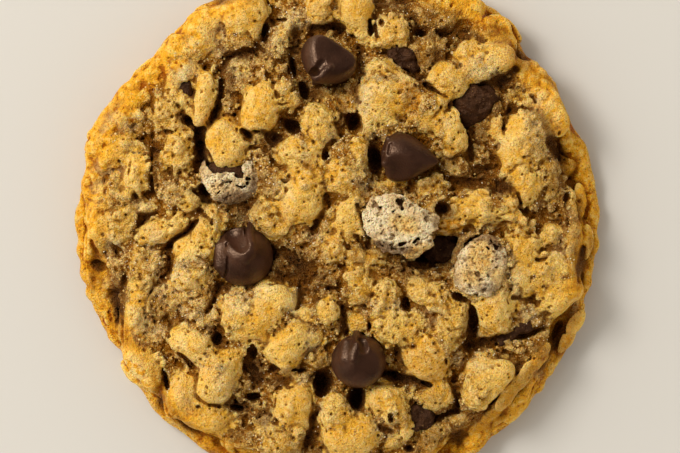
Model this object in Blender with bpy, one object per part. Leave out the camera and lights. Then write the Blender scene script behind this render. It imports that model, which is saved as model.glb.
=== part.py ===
"""Oatmeal chocolate chip cookie: one baked round of lumpy oat dough, with chocolate chips
set in pockets in its top.

Frame: +Z up, origin on the table under the middle of the cookie. The tables below hold
millimetres and degrees, and MM turns millimetres into metres where a mesh is made.
"""
import math

import bmesh
import bpy
from mathutils import Euler, Vector, noise
from mathutils.geometry import delaunay_2d_cdt

MM = 0.001

# ---- driving dimensions (mm) -------------------------------------------------------------
COOKIE_RADIUS = 44.8        # a 3.5 inch cookie
FOOT_INSET = 2.4            # the flat underside stops this far inside the outline
BELLY_Z = 2.1               # height at which the outline is widest
LIP_Z = 3.9                 # the thin spread lip all round the edge
GROOVE_Z = 3.3              # crease between the lip and the risen cap
SHOULDER_Z = 8.4            # outer edge of the risen cap
CROWN_Z = 12.2              # middle of the cap, under the mounds
VALLEY_DEPTH = 1.5          # how far the dough between two mounds lies below the cap
MOUND_DROP = 3.0            # how far a mound's flank falls from its top
RIPPLE = 0.30               # small unevenness of the whole top
RIPPLE_SIZE = 5.0
SIDE_RIPPLE = 0.9           # unevenness of the side, out and in
SEAT_Z = 9.6                # floor of the hollow that a whole chip sits in
SEAT_ROOM = 1.25            # its radius over the chip's
CHIP_GAP = 0.32             # clearance between a chip and its pocket

SEGMENTS = 144              # points round the outline
TOP_SPACING = 1.74          # distance between points on the top
CHIP_SEGMENTS = 14
BURIED_SEGMENTS = 12

# Outline, as (angle, how far its radius differs from COOKIE_RADIUS)
OUTLINE = (
    (0, 0.2), (7, 0.2), (17, 0.1), (24, -0.6), (35, 0.1), (42, -0.8), (49, 0.8), (57, 1.2),
    (75, 0.7), (90, 0.4), (105, 0.3), (120, -0.1), (126, -1.8), (135, -2.4), (145, -1.3),
    (152, -1.2), (158, -0.2), (167, -0.3), (180, 0.2), (190, -0.1), (200, -0.6), (209, -1.8),
    (213, -0.7), (227, -0.7), (239, 0.2), (255, 0.3), (270, 0.4), (285, 0.6), (301, 0.4),
    (313, 0.0), (326, -0.2), (338, 0.4), (342, -0.3), (350, -0.2),
)

# Width of the lip outside the cap, as (angle, width)
LIP = (
    (0, 3.4), (8, 5.2), (14, 5.8), (20, 5.2), (26, 1.8), (34, 2.0), (41, 3.0), (48, 2.6),
    (58, 2.2), (90, 2.0), (128, 1.4), (160, 1.7), (172, 2.2), (182, 2.8), (187, 4.2),
    (196, 4.8), (205, 4.0), (212, 1.8), (221, 1.8), (227, 2.4), (235, 3.2), (241, 4.0),
    (252, 3.0), (280, 2.2), (292, 3.0), (301, 4.8), (310, 4.6), (320, 3.8), (329, 3.4),
    (336, 5.0), (343, 2.6), (351, 2.6),
)

# Oat mounds on the cap: (x, y, half length, half width, turn, rise of the top over the cap)
MOUNDS = (
    (-16.2, 36.0, 4.0, 3.0, 20, 1.3), (-26.0, 26.8, 2.4, 2.2, 60, 1.0),
    (-23.0, 21.8, 5.2, 2.0, 76, 0.9), (-35.2, 21.5, 3.6, 2.6, 50, 0.3),
    (-29.3, 18.9, 2.4, 2.2, 90, 0.5), (-27.0, 13.6, 4.2, 2.5, 95, 0.9),
    (-10.8, 30.4, 4.2, 2.1, 72, 0.6), (-3.6, 36.4, 3.0, 2.6, 90, 0.8),
    (-12.9, 19.6, 4.8, 3.2, 76, 1.5), (-8.3, 22.8, 3.2, 2.2, 110, 1.0),
    (-19.8, 14.4, 4.3, 3.5, 150, 1.3), (-3.5, 17.2, 3.4, 3.1, 100, 1.0),
    (2.9, 36.8, 3.6, 3.0, 80, 1.1), (9.3, 33.7, 4.0, 3.1, 10, 1.0), (17.0, 36.2, 4.2, 2.8, 0, 0.3),
    (6.8, 27.4, 3.3, 2.1, -10, 0.6), (7.6, 21.6, 4.2, 4.0, 90, 1.4),
    (14.4, 20.4, 5.4, 3.8, -60, 1.3), (18.6, 25.6, 3.7, 3.2, -20, 1.0),
    (15.3, 30.3, 2.8, 2.2, 60, 0.2), (19.4, 16.0, 4.0, 2.5, 80, 1.2),
    (25.5, 28.1, 5.2, 3.6, -15, 1.3), (33.2, 25.4, 3.8, 2.6, -40, 0.5),
    (37.0, 20.4, 3.2, 2.2, -70, 0.5), (31.5, 15.2, 5.4, 4.3, 60, 1.5),
    (32.3, 7.6, 3.8, 2.5, 80, 1.2), (36.4, 8.0, 4.6, 1.9, 85, 0.4), (24.4, 3.4, 3.5, 3.3, 0, 0.8),
    (28.7, 3.4, 2.6, 1.8, 80, 0.6), (39.4, 0.4, 5.0, 1.9, 88, 0.4), (31.8, -3.0, 3.4, 2.1, 0, 0.8),
    (32.8, -7.8, 3.8, 3.4, 90, 1.2), (38.0, -9.6, 4.6, 3.7, 55, 1.0),
    (26.6, -14.2, 3.7, 3.3, 90, 1.2), (25.2, -26.4, 5.2, 4.3, 60, 1.3),
    (18.8, -15.6, 4.2, 3.4, 90, 0.9), (15.3, -22.2, 4.7, 4.2, 30, 1.4),
    (17.0, -29.0, 3.2, 2.8, 30, 0.7), (8.8, -30.6, 4.6, 3.6, -65, 1.1),
    (9.3, -16.6, 4.6, 3.1, -15, 0.9), (8.0, -11.8, 2.4, 3.4, 0, 0.7),
    (14.6, -10.8, 3.4, 3.4, 0, 0.7), (3.0, -9.6, 2.5, 3.2, 0, 0.5), (3.0, -36.2, 5.0, 3.9, 10, 1.1),
    (-1.2, -30.3, 2.7, 3.6, 0, 0.7), (-7.8, -30.3, 3.4, 3.2, 0, 1.1),
    (-9.5, -36.2, 3.4, 2.8, 0, 0.7), (-8.9, -20.0, 3.9, 3.1, 45, 1.3),
    (-17.4, -15.6, 2.9, 4.7, 0, 1.3), (-11.3, -13.2, 4.6, 3.9, -25, 1.4),
    (-2.2, -14.4, 2.6, 2.9, 0, 0.6), (-20.6, -25.2, 4.8, 3.6, 80, 1.2),
    (-25.0, -19.7, 4.0, 3.1, -20, 1.1), (-26.8, -28.6, 3.1, 3.9, 0, 0.8),
    (-21.8, -32.8, 3.7, 2.1, -10, 0.6), (-34.4, -14.2, 2.6, 5.6, -12, 0.7),
    (-34.4, -24.4, 3.6, 2.2, -50, 0.3), (-24.2, -6.4, 4.2, 5.0, 0, 1.4),
    (-32.8, -6.4, 2.7, 3.5, 0, 0.7), (-29.9, -0.9, 4.2, 2.2, 25, 0.9),
    (-36.4, 0.6, 2.9, 3.9, 0, 0.8), (-40.4, 2.0, 2.4, 4.2, 0, 0.4), (-33.6, 9.9, 4.6, 2.4, 85, 1.0),
    (-37.2, 12.4, 3.8, 2.1, 40, 0.7), (-27.4, 6.0, 3.8, 3.6, 0, 1.0),
    (-23.0, -0.4, 1.9, 2.8, 0, 0.5), (-20.6, 2.3, 3.3, 1.7, -50, 0.6),
    (-7.2, 12.9, 3.8, 3.2, 0, 1.3), (-6.2, 5.0, 3.3, 4.7, 0, 1.4), (-11.8, 1.6, 3.4, 2.6, -40, 0.4),
    (1.6, 9.6, 4.6, 4.9, 0, 1.3), (1.5, 1.6, 2.8, 2.9, 0, 0.8), (-1.8, -4.6, 3.8, 2.9, 0, 0.8),
    (15.2, 5.6, 2.8, 3.0, 0, 0.4), (20.0, 2.4, 2.8, 2.2, 20, 0.4), (-38.6, 16.4, 3.4, 2.5, 58, 0.2),
    (-25.4, 33.0, 3.4, 2.4, 48, 0.4), (-31.4, 26.8, 3.4, 2.4, 42, 0.3), (23.4, 36.4, 3.8, 2.4, -34, 0.4),
    (26.0, 32.6, 2.8, 1.8, 0, 0.2), (32.0, -23.6, 3.8, 2.4, 62, 0.3), (16.2, -36.0, 3.4, 2.2, 48, 0.3),
    (-15.6, -36.4, 2.8, 2.2, 20, 0.2), (-36.4, -8.6, 2.6, 3.4, 0, 0.3), (-30.8, -12.0, 2.4, 3.4, 0, 0.3),
    (-24.0, -13.4, 3.0, 2.4, 0, 0.3), (-12.5, 8.2, 2.2, 3.2, 20, 0.2), (4.8, -5.4, 3.2, 2.2, 0, 0.2),
)

# Deep places in the cap: (x, y, half length, half width, turn, height of its floor)
HOLLOWS = (
    (15.6, -4.4, 5.2, 3.4, 20, 7.0), (2.7, 18.2, 1.9, 2.0, 0, 7.5), (6.2, 11.6, 1.9, 3.6, 0, 8.2),
    (3.2, -29.6, 1.9, 2.4, 0, 7.5), (-3.2, -26.0, 2.5, 2.2, 0, 7.8), (-23.8, 14.6, 1.6, 4.4, -15, 7.6),
    (22.9, -17.6, 1.6, 4.6, 0, 8.2), (-40.6, -5.0, 2.6, 3.2, 0, 5.2), (37.6, -17.6, 2.6, 2.6, 0, 5.2),
)

# Whole chips: (name, x, y and height of the middle of the base, way the tip points, how far
# the chip lies over, radius of its base, length, sideways bend of its tip)
WHOLE_CHIPS = (
    ("chip_upper", -0.6, 29.6, 9.8, -121, 50, 4.8, 7.6, 0.5),
    ("chip_right", 8.6, 12.1, 10.6, -6, 76, 4.3, 9.2, 0.0),
    ("chip_left", -16.3, -5.2, 9.2, 60, 4, 5.05, 6.6, 1.2),
    ("chip_lower", 3.5, -23.2, 9.2, 88, 14, 4.75, 7.0, 0.8),
)

# Chocolate that the dough partly covers, as flattened lumps:
# (name, x, y, half length, half width, half height, turn, height of its top)
BURIED_CHIPS = (
    ("chip_coated_left", -18.6, 8.2, 5.1, 3.9, 3.2, -6, 12.6),
    ("chip_coated_middle", 9.9, 0.8, 6.1, 4.5, 3.4, -12, 14.2),
    ("chip_coated_right", 24.3, -6.6, 4.4, 5.2, 3.4, -8, 13.6),
    ("chip_in_hollow", 17.8, -3.9, 3.0, 2.3, 2.0, 25, 9.6),
    ("chip_melted", 23.2, 20.7, 4.4, 2.7, 2.2, 50, 11.0),
    ("chip_smear", 30.9, -17.9, 3.8, 1.5, 1.8, 25, 10.7),
    ("chip_nib_upper", 11.6, 28.8, 2.5, 1.6, 1.8, -15, 11.2),
    ("chip_nib_left", -25.4, 22.8, 1.4, 1.9, 1.6, 0, 11.6),
    ("chip_nib_lower", 14.4, -32.8, 2.2, 1.6, 1.6, 20, 10.6),
)


def clear_scene():
    for item in list(bpy.data.objects):
        bpy.data.objects.remove(item, do_unlink=True)


def make_material(name, color, roughness):
    material = bpy.data.materials.new(name)
    material.use_nodes = True
    shader = material.node_tree.nodes["Principled BSDF"]
    shader.inputs["Base Color"].default_value = (*color, 1.0)
    shader.inputs["Roughness"].default_value = roughness
    shader.inputs["Metallic"].default_value = 0.0
    return material


# ---- shape of the cookie, as functions of angle and place ---------------------------------
def around(table, angle):
    """Value at an angle in degrees, eased between the entries of a table that wraps round."""
    angle %= 360.0
    for index, (start, first) in enumerate(table):
        end, second = table[(index + 1) % len(table)]
        if end <= start:
            end += 360
        if start <= angle < end:
            t = (angle - start) / (end - start)
            return first + (second - first) * t * t * (3.0 - 2.0 * t)
    return table[0][1]


def outline_radius(angle):
    return COOKIE_RADIUS + around(OUTLINE, angle)


def cap_radius(angle):
    return outline_radius(angle) - around(LIP, angle) - 1.5


def spot_distance(x, y, spot):
    """Squared distance from the middle of a turned oval, 1 on its rim."""
    center_x, center_y, half_length, half_width, turn = spot[:5]
    turn = math.radians(turn)
    along = (x - center_x) * math.cos(turn) + (y - center_y) * math.sin(turn)
    across = (y - center_y) * math.cos(turn) - (x - center_x) * math.sin(turn)
    return (along / half_length) ** 2 + (across / half_width) ** 2


def dome_height(x, y):
    reach = math.hypot(x, y) / cap_radius(math.degrees(math.atan2(y, x)))
    return SHOULDER_Z + (CROWN_Z - SHOULDER_Z) * (1.0 - min(reach, 1.0) ** 2.4)


def top_height(x, y):
    """Height of the cap: its dome, the mounds on it and the hollows between them."""
    ripple = RIPPLE * noise.noise(Vector((x, y, 0.0)) / RIPPLE_SIZE)
    height = dome_height(x, y) - VALLEY_DEPTH
    for mound in MOUNDS:
        distance = spot_distance(x, y, mound)
        if distance < 1.0:
            top = dome_height(mound[0], mound[1]) + mound[5]
            height = max(height, top - MOUND_DROP * (1.0 - math.sqrt(1.0 - distance)))
    for hollow in HOLLOWS + chip_seats():
        distance = spot_distance(x, y, hollow)
        if distance < 1.0:
            ease = distance ** 1.5
            height = min(height, hollow[5] + (height - hollow[5]) * ease)
    return height + ripple


def chip_seats():
    """The hollow round each whole chip, under the middle of its length."""
    seats = []
    for name, x, y, base, heading, tilt, radius, length, bend in WHOLE_CHIPS:
        reach = 0.45 * length * math.sin(math.radians(tilt))
        heading = math.radians(heading)
        middle = (x + reach * math.cos(heading), y + reach * math.sin(heading))
        seats.append((*middle, SEAT_ROOM * radius, SEAT_ROOM * radius, 0, SEAT_Z))
    return tuple(seats)


# ---- dough --------------------------------------------------------------------------------
def edge_rings(angle):
    """(radius, height) up the side of the cookie, from the underside to the cap's shoulder."""
    rim = outline_radius(angle)
    lip = around(LIP, angle)
    turn = Vector((math.cos(math.radians(angle)), math.sin(math.radians(angle)), 0.0))
    bulge = SIDE_RIPPLE * noise.noise(turn * 9.0)
    rise = SIDE_RIPPLE * noise.noise(turn * 6.0 + Vector((0.0, 0.0, 4.0)))
    return (
        (rim - FOOT_INSET, 0.0),
        (rim - 0.7, 0.7),
        (rim, BELLY_Z),
        (rim - 0.45, LIP_Z - 0.4 + 0.6 * rise),
        (rim - 0.3 * lip - 0.6, LIP_Z + rise),
        (rim - 0.85 * lip, GROOVE_Z + 0.5 * rise),
        (rim - lip - 0.2 + bulge, 0.5 * (GROOVE_Z + SHOULDER_Z)),
        (cap_radius(angle) + 0.4, SHOULDER_Z - 0.9 + rise),
    )


def add_side(mesh):
    """Stack the rings of the side, close the flat underside, and return the cap's rim."""
    rings = []
    angles = [360.0 * k / SEGMENTS for k in range(SEGMENTS)]
    profiles = [edge_rings(angle) for angle in angles]
    for level in range(len(profiles[0])):
        ring = []
        for angle, profile in zip(angles, profiles):
            radius, height = profile[level]
            turn = math.radians(angle)
            place = Vector((radius * math.cos(turn), radius * math.sin(turn), height))
            ring.append(mesh.verts.new(place * MM))
        rings.append(ring)
    for low, high in zip(rings, rings[1:]):
        for k in range(SEGMENTS):
            after = (k + 1) % SEGMENTS
            mesh.faces.new((low[k], low[after], high[after], high[k]))
    mesh.faces.new(list(reversed(rings[0])))
    return rings[-1]


def cap_points(rim):
    """Evenly spread points over the cap, in plan, inside its rim."""
    points = [(vert.co.x / MM, vert.co.y / MM) for vert in rim]
    rows = int(2 * COOKIE_RADIUS / (TOP_SPACING * math.sqrt(0.75))) + 1
    for row in range(rows):
        y = -COOKIE_RADIUS + row * TOP_SPACING * math.sqrt(0.75)
        shift = 0.5 * TOP_SPACING * (row % 2)
        for column in range(rows):
            x = -COOKIE_RADIUS + column * TOP_SPACING + shift
            limit = cap_radius(math.degrees(math.atan2(y, x)))
            if math.hypot(x, y) < limit:
                points.append((x, y))
    return points


def add_cap(mesh, rim):
    """Triangulate the cap between its rim and its inner points, and lift it to its height."""
    points = [Vector(point) for point in cap_points(rim)]
    border = [(k, (k + 1) % SEGMENTS) for k in range(SEGMENTS)]
    flat, edges, triangles = delaunay_2d_cdt(points, border, [], 1, 1e-6)[:3]
    verts = list(rim)
    for place in flat[SEGMENTS:]:
        lifted = Vector((place.x, place.y, top_height(place.x, place.y)))
        verts.append(mesh.verts.new(lifted * MM))
    for triangle in triangles:
        mesh.faces.new([verts[k] for k in triangle])


def make_dough():
    mesh = bmesh.new()
    rim = add_side(mesh)
    add_cap(mesh, rim)
    bmesh.ops.recalc_face_normals(mesh, faces=mesh.faces)
    data = bpy.data.meshes.new("dough")
    mesh.to_mesh(data)
    mesh.free()
    dough = bpy.data.objects.new("dough", data)
    bpy.context.collection.objects.link(dough)
    dough.data.materials.append(make_material("baked_oat_dough", (0.62, 0.36, 0.12), 0.7))
    return dough


# ---- chips --------------------------------------------------------------------------------
def chip_profile(radius, length, grow):
    """A chip's turned side, as (radius, height) from the rim of its base to just under its tip."""
    shares = (
        (0.84, 0.0), (1.0, 0.13), (0.97, 0.30), (0.83, 0.47), (0.60, 0.64), (0.34, 0.80), (0.15, 0.93),
    )
    return [
        (radius * width + grow, length * rise + (grow if rise > 0.1 else -grow))
        for width, rise in shares
    ]


def add_turned_chip(mesh, radius, length, bend, grow):
    """Spin the profile into a closed teardrop whose tip is bent towards its +X."""
    loops = []
    for radius, rise in chip_profile(radius, length, grow):
        lean = bend * max(0.0, rise / length - 0.4) ** 1.5 * 2.0
        loop = []
        for k in range(CHIP_SEGMENTS):
            turn = math.tau * k / CHIP_SEGMENTS
            place = Vector((radius * math.cos(turn) + lean, radius * math.sin(turn), rise))
            loop.append(mesh.verts.new(place * MM))
        loops.append(loop)
    for low, high in zip(loops, loops[1:]):
        for k in range(CHIP_SEGMENTS):
            after = (k + 1) % CHIP_SEGMENTS
            mesh.faces.new((low[k], low[after], high[after], high[k]))
    mesh.faces.new(list(reversed(loops[0])))
    tip = mesh.verts.new(Vector((bend * 0.95, 0.0, length + grow)) * MM)
    for k in range(CHIP_SEGMENTS):
        mesh.faces.new((loops[-1][k], loops[-1][(k + 1) % CHIP_SEGMENTS], tip))


def place_object(name, mesh, location, rotation):
    data = bpy.data.meshes.new(name)
    mesh.to_mesh(data)
    mesh.free()
    item = bpy.data.objects.new(name, data)
    item.location = Vector(location) * MM
    item.rotation_euler = rotation
    bpy.context.collection.objects.link(item)
    item.data.shade_smooth()
    return item


def make_whole_chip(name, x, y, base, heading, tilt, radius, length, bend, grow=0.0):
    mesh = bmesh.new()
    add_turned_chip(mesh, radius, length, bend, grow)
    rotation = Euler((0.0, math.radians(tilt), math.radians(heading)))
    return place_object(name, mesh, (x, y, base), rotation)


def make_buried_chip(name, x, y, half_length, half_width, half_height, turn, top, grow=0.0):
    mesh = bmesh.new()
    bmesh.ops.create_uvsphere(mesh, u_segments=BURIED_SEGMENTS, v_segments=7, radius=1.0)
    size = Vector((half_length + grow, half_width + grow, half_height + grow)) * MM
    for vert in mesh.verts:
        swell = 1.0 + 0.07 * noise.noise(vert.co * 1.7 + Vector((x, y, 0.0)))
        vert.co = Vector((vert.co.x * size.x, vert.co.y * size.y, vert.co.z * size.z)) * swell
    rotation = Euler((0.0, 0.0, math.radians(turn)))
    return place_object(name, mesh, (x, y, top - half_height), rotation)


def cut_pocket(dough, cutter):
    """Cut the pocket that a chip sits in. The cutter is the chip, grown by the gap."""
    cutter.hide_render = True
    cutter.display_type = "WIRE"
    pocket = dough.modifiers.new(cutter.name, "BOOLEAN")
    pocket.operation = "DIFFERENCE"
    pocket.solver = "EXACT"
    pocket.object = cutter


def add_chips(dough, maker, rows, material):
    for name, *size in rows:
        chip = maker(name, *size)
        chip.data.materials.append(material)
        cut_pocket(dough, maker(name + "_pocket", *size, grow=CHIP_GAP))


def main():
    clear_scene()
    dough = make_dough()
    chocolate = make_material("dark_chocolate", (0.045, 0.020, 0.012), 0.45)
    add_chips(dough, make_whole_chip, WHOLE_CHIPS, chocolate)
    add_chips(dough, make_buried_chip, BURIED_CHIPS, chocolate)


main()
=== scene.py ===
"""Oatmeal chocolate chip cookie: the looks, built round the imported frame.

The dough, the chips and the thin films over them are carved as distance fields on fine grids
and then skinned, so mounds, crevices, pits and folds are real shape. Lengths are in
millimetres until a piece is made, which turns them into metres.
"""

import math

import bpy
import numpy as np
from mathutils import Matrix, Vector
from mathutils.bvhtree import BVHTree


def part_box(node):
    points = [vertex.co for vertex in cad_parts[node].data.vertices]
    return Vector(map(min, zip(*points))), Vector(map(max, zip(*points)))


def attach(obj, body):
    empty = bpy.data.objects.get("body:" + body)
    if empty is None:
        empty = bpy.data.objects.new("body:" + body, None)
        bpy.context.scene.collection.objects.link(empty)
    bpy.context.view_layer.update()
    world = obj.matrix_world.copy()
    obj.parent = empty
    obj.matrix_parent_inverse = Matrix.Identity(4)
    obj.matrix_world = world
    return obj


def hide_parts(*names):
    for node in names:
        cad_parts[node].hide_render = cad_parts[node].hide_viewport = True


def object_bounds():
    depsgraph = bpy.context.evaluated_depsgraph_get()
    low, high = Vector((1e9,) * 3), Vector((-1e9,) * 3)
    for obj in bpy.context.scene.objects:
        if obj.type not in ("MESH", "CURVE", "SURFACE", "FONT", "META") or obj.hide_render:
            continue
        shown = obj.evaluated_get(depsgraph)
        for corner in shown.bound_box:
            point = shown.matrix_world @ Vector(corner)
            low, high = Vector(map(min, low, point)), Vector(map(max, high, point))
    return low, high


MM = 0.001

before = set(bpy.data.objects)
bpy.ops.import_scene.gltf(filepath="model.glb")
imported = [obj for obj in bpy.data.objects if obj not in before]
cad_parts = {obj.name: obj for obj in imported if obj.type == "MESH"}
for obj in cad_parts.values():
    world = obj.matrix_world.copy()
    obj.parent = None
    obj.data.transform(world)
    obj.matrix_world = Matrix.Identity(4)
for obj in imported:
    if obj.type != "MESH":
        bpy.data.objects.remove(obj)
cad_low, cad_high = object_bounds()

# ---- how fine the carving is -----------------------------------------------------------------
DOUGH_STEP = 0.22       # grid spacing of the dough
CHIP_STEP = 0.16        # grid spacing of a chip
FILM_STEP = 0.1         # grid spacing of a film over a chip
DOUGH_FACES = 195000  # most triangles in one piece of the dough
CHIP_FACES = 16000     # most in a whole chip, and a lump has half as many
FILM_FACES = 40000     # most in a film
GRAINS = 1800          # grains in each scattered piece, 20 triangles each
CRUMB_SPACING = 1.05    # mm between the crumbs that cover the rough ground
SEED = 7

# ---- the dough's own sizes --------------------------------------------------------------------
DOUGH_HALF = 46.4        # half the width of the dough's grid
DOUGH_TOP = 15.4         # height of the dough's grid
CORE_DROP = 0.25         # how far the plain core lies under the frame's cap
RIM_DROP = 0.35          # and the same near the edge
CHIP_COVER = 3.0         # the core also fills up to this far under the top of a chip
JOIN = 2.1               # how softly lumps run together
MOUND_SQUARE = 2.4       # 2 is an oval, and more is squarer
CRUMB_SQUARE = 2.2
RIM_REACH = 39.5         # radius outside which the edge's own flakes take over
RIM_FLAKES = 260
PORE_TRIES = 6500        # places tried for a pore
PORE_REACH = 43.0        # radius outside which there is no pore
EDGE_RADIUS = 41.0       # the edge's piece is what lies outside this radius
EDGE_HEIGHT = 7.0        # or under this height
SIDE_COLUMNS = 360       # places round the edge where the frame's side is measured
BELLY_HEIGHT = 2.0       # height at which the side is widest
RAY_TOP = 40.0           # how high the downward measuring rays start
RAY_START = 80.0         # how far out the level ones start

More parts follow.
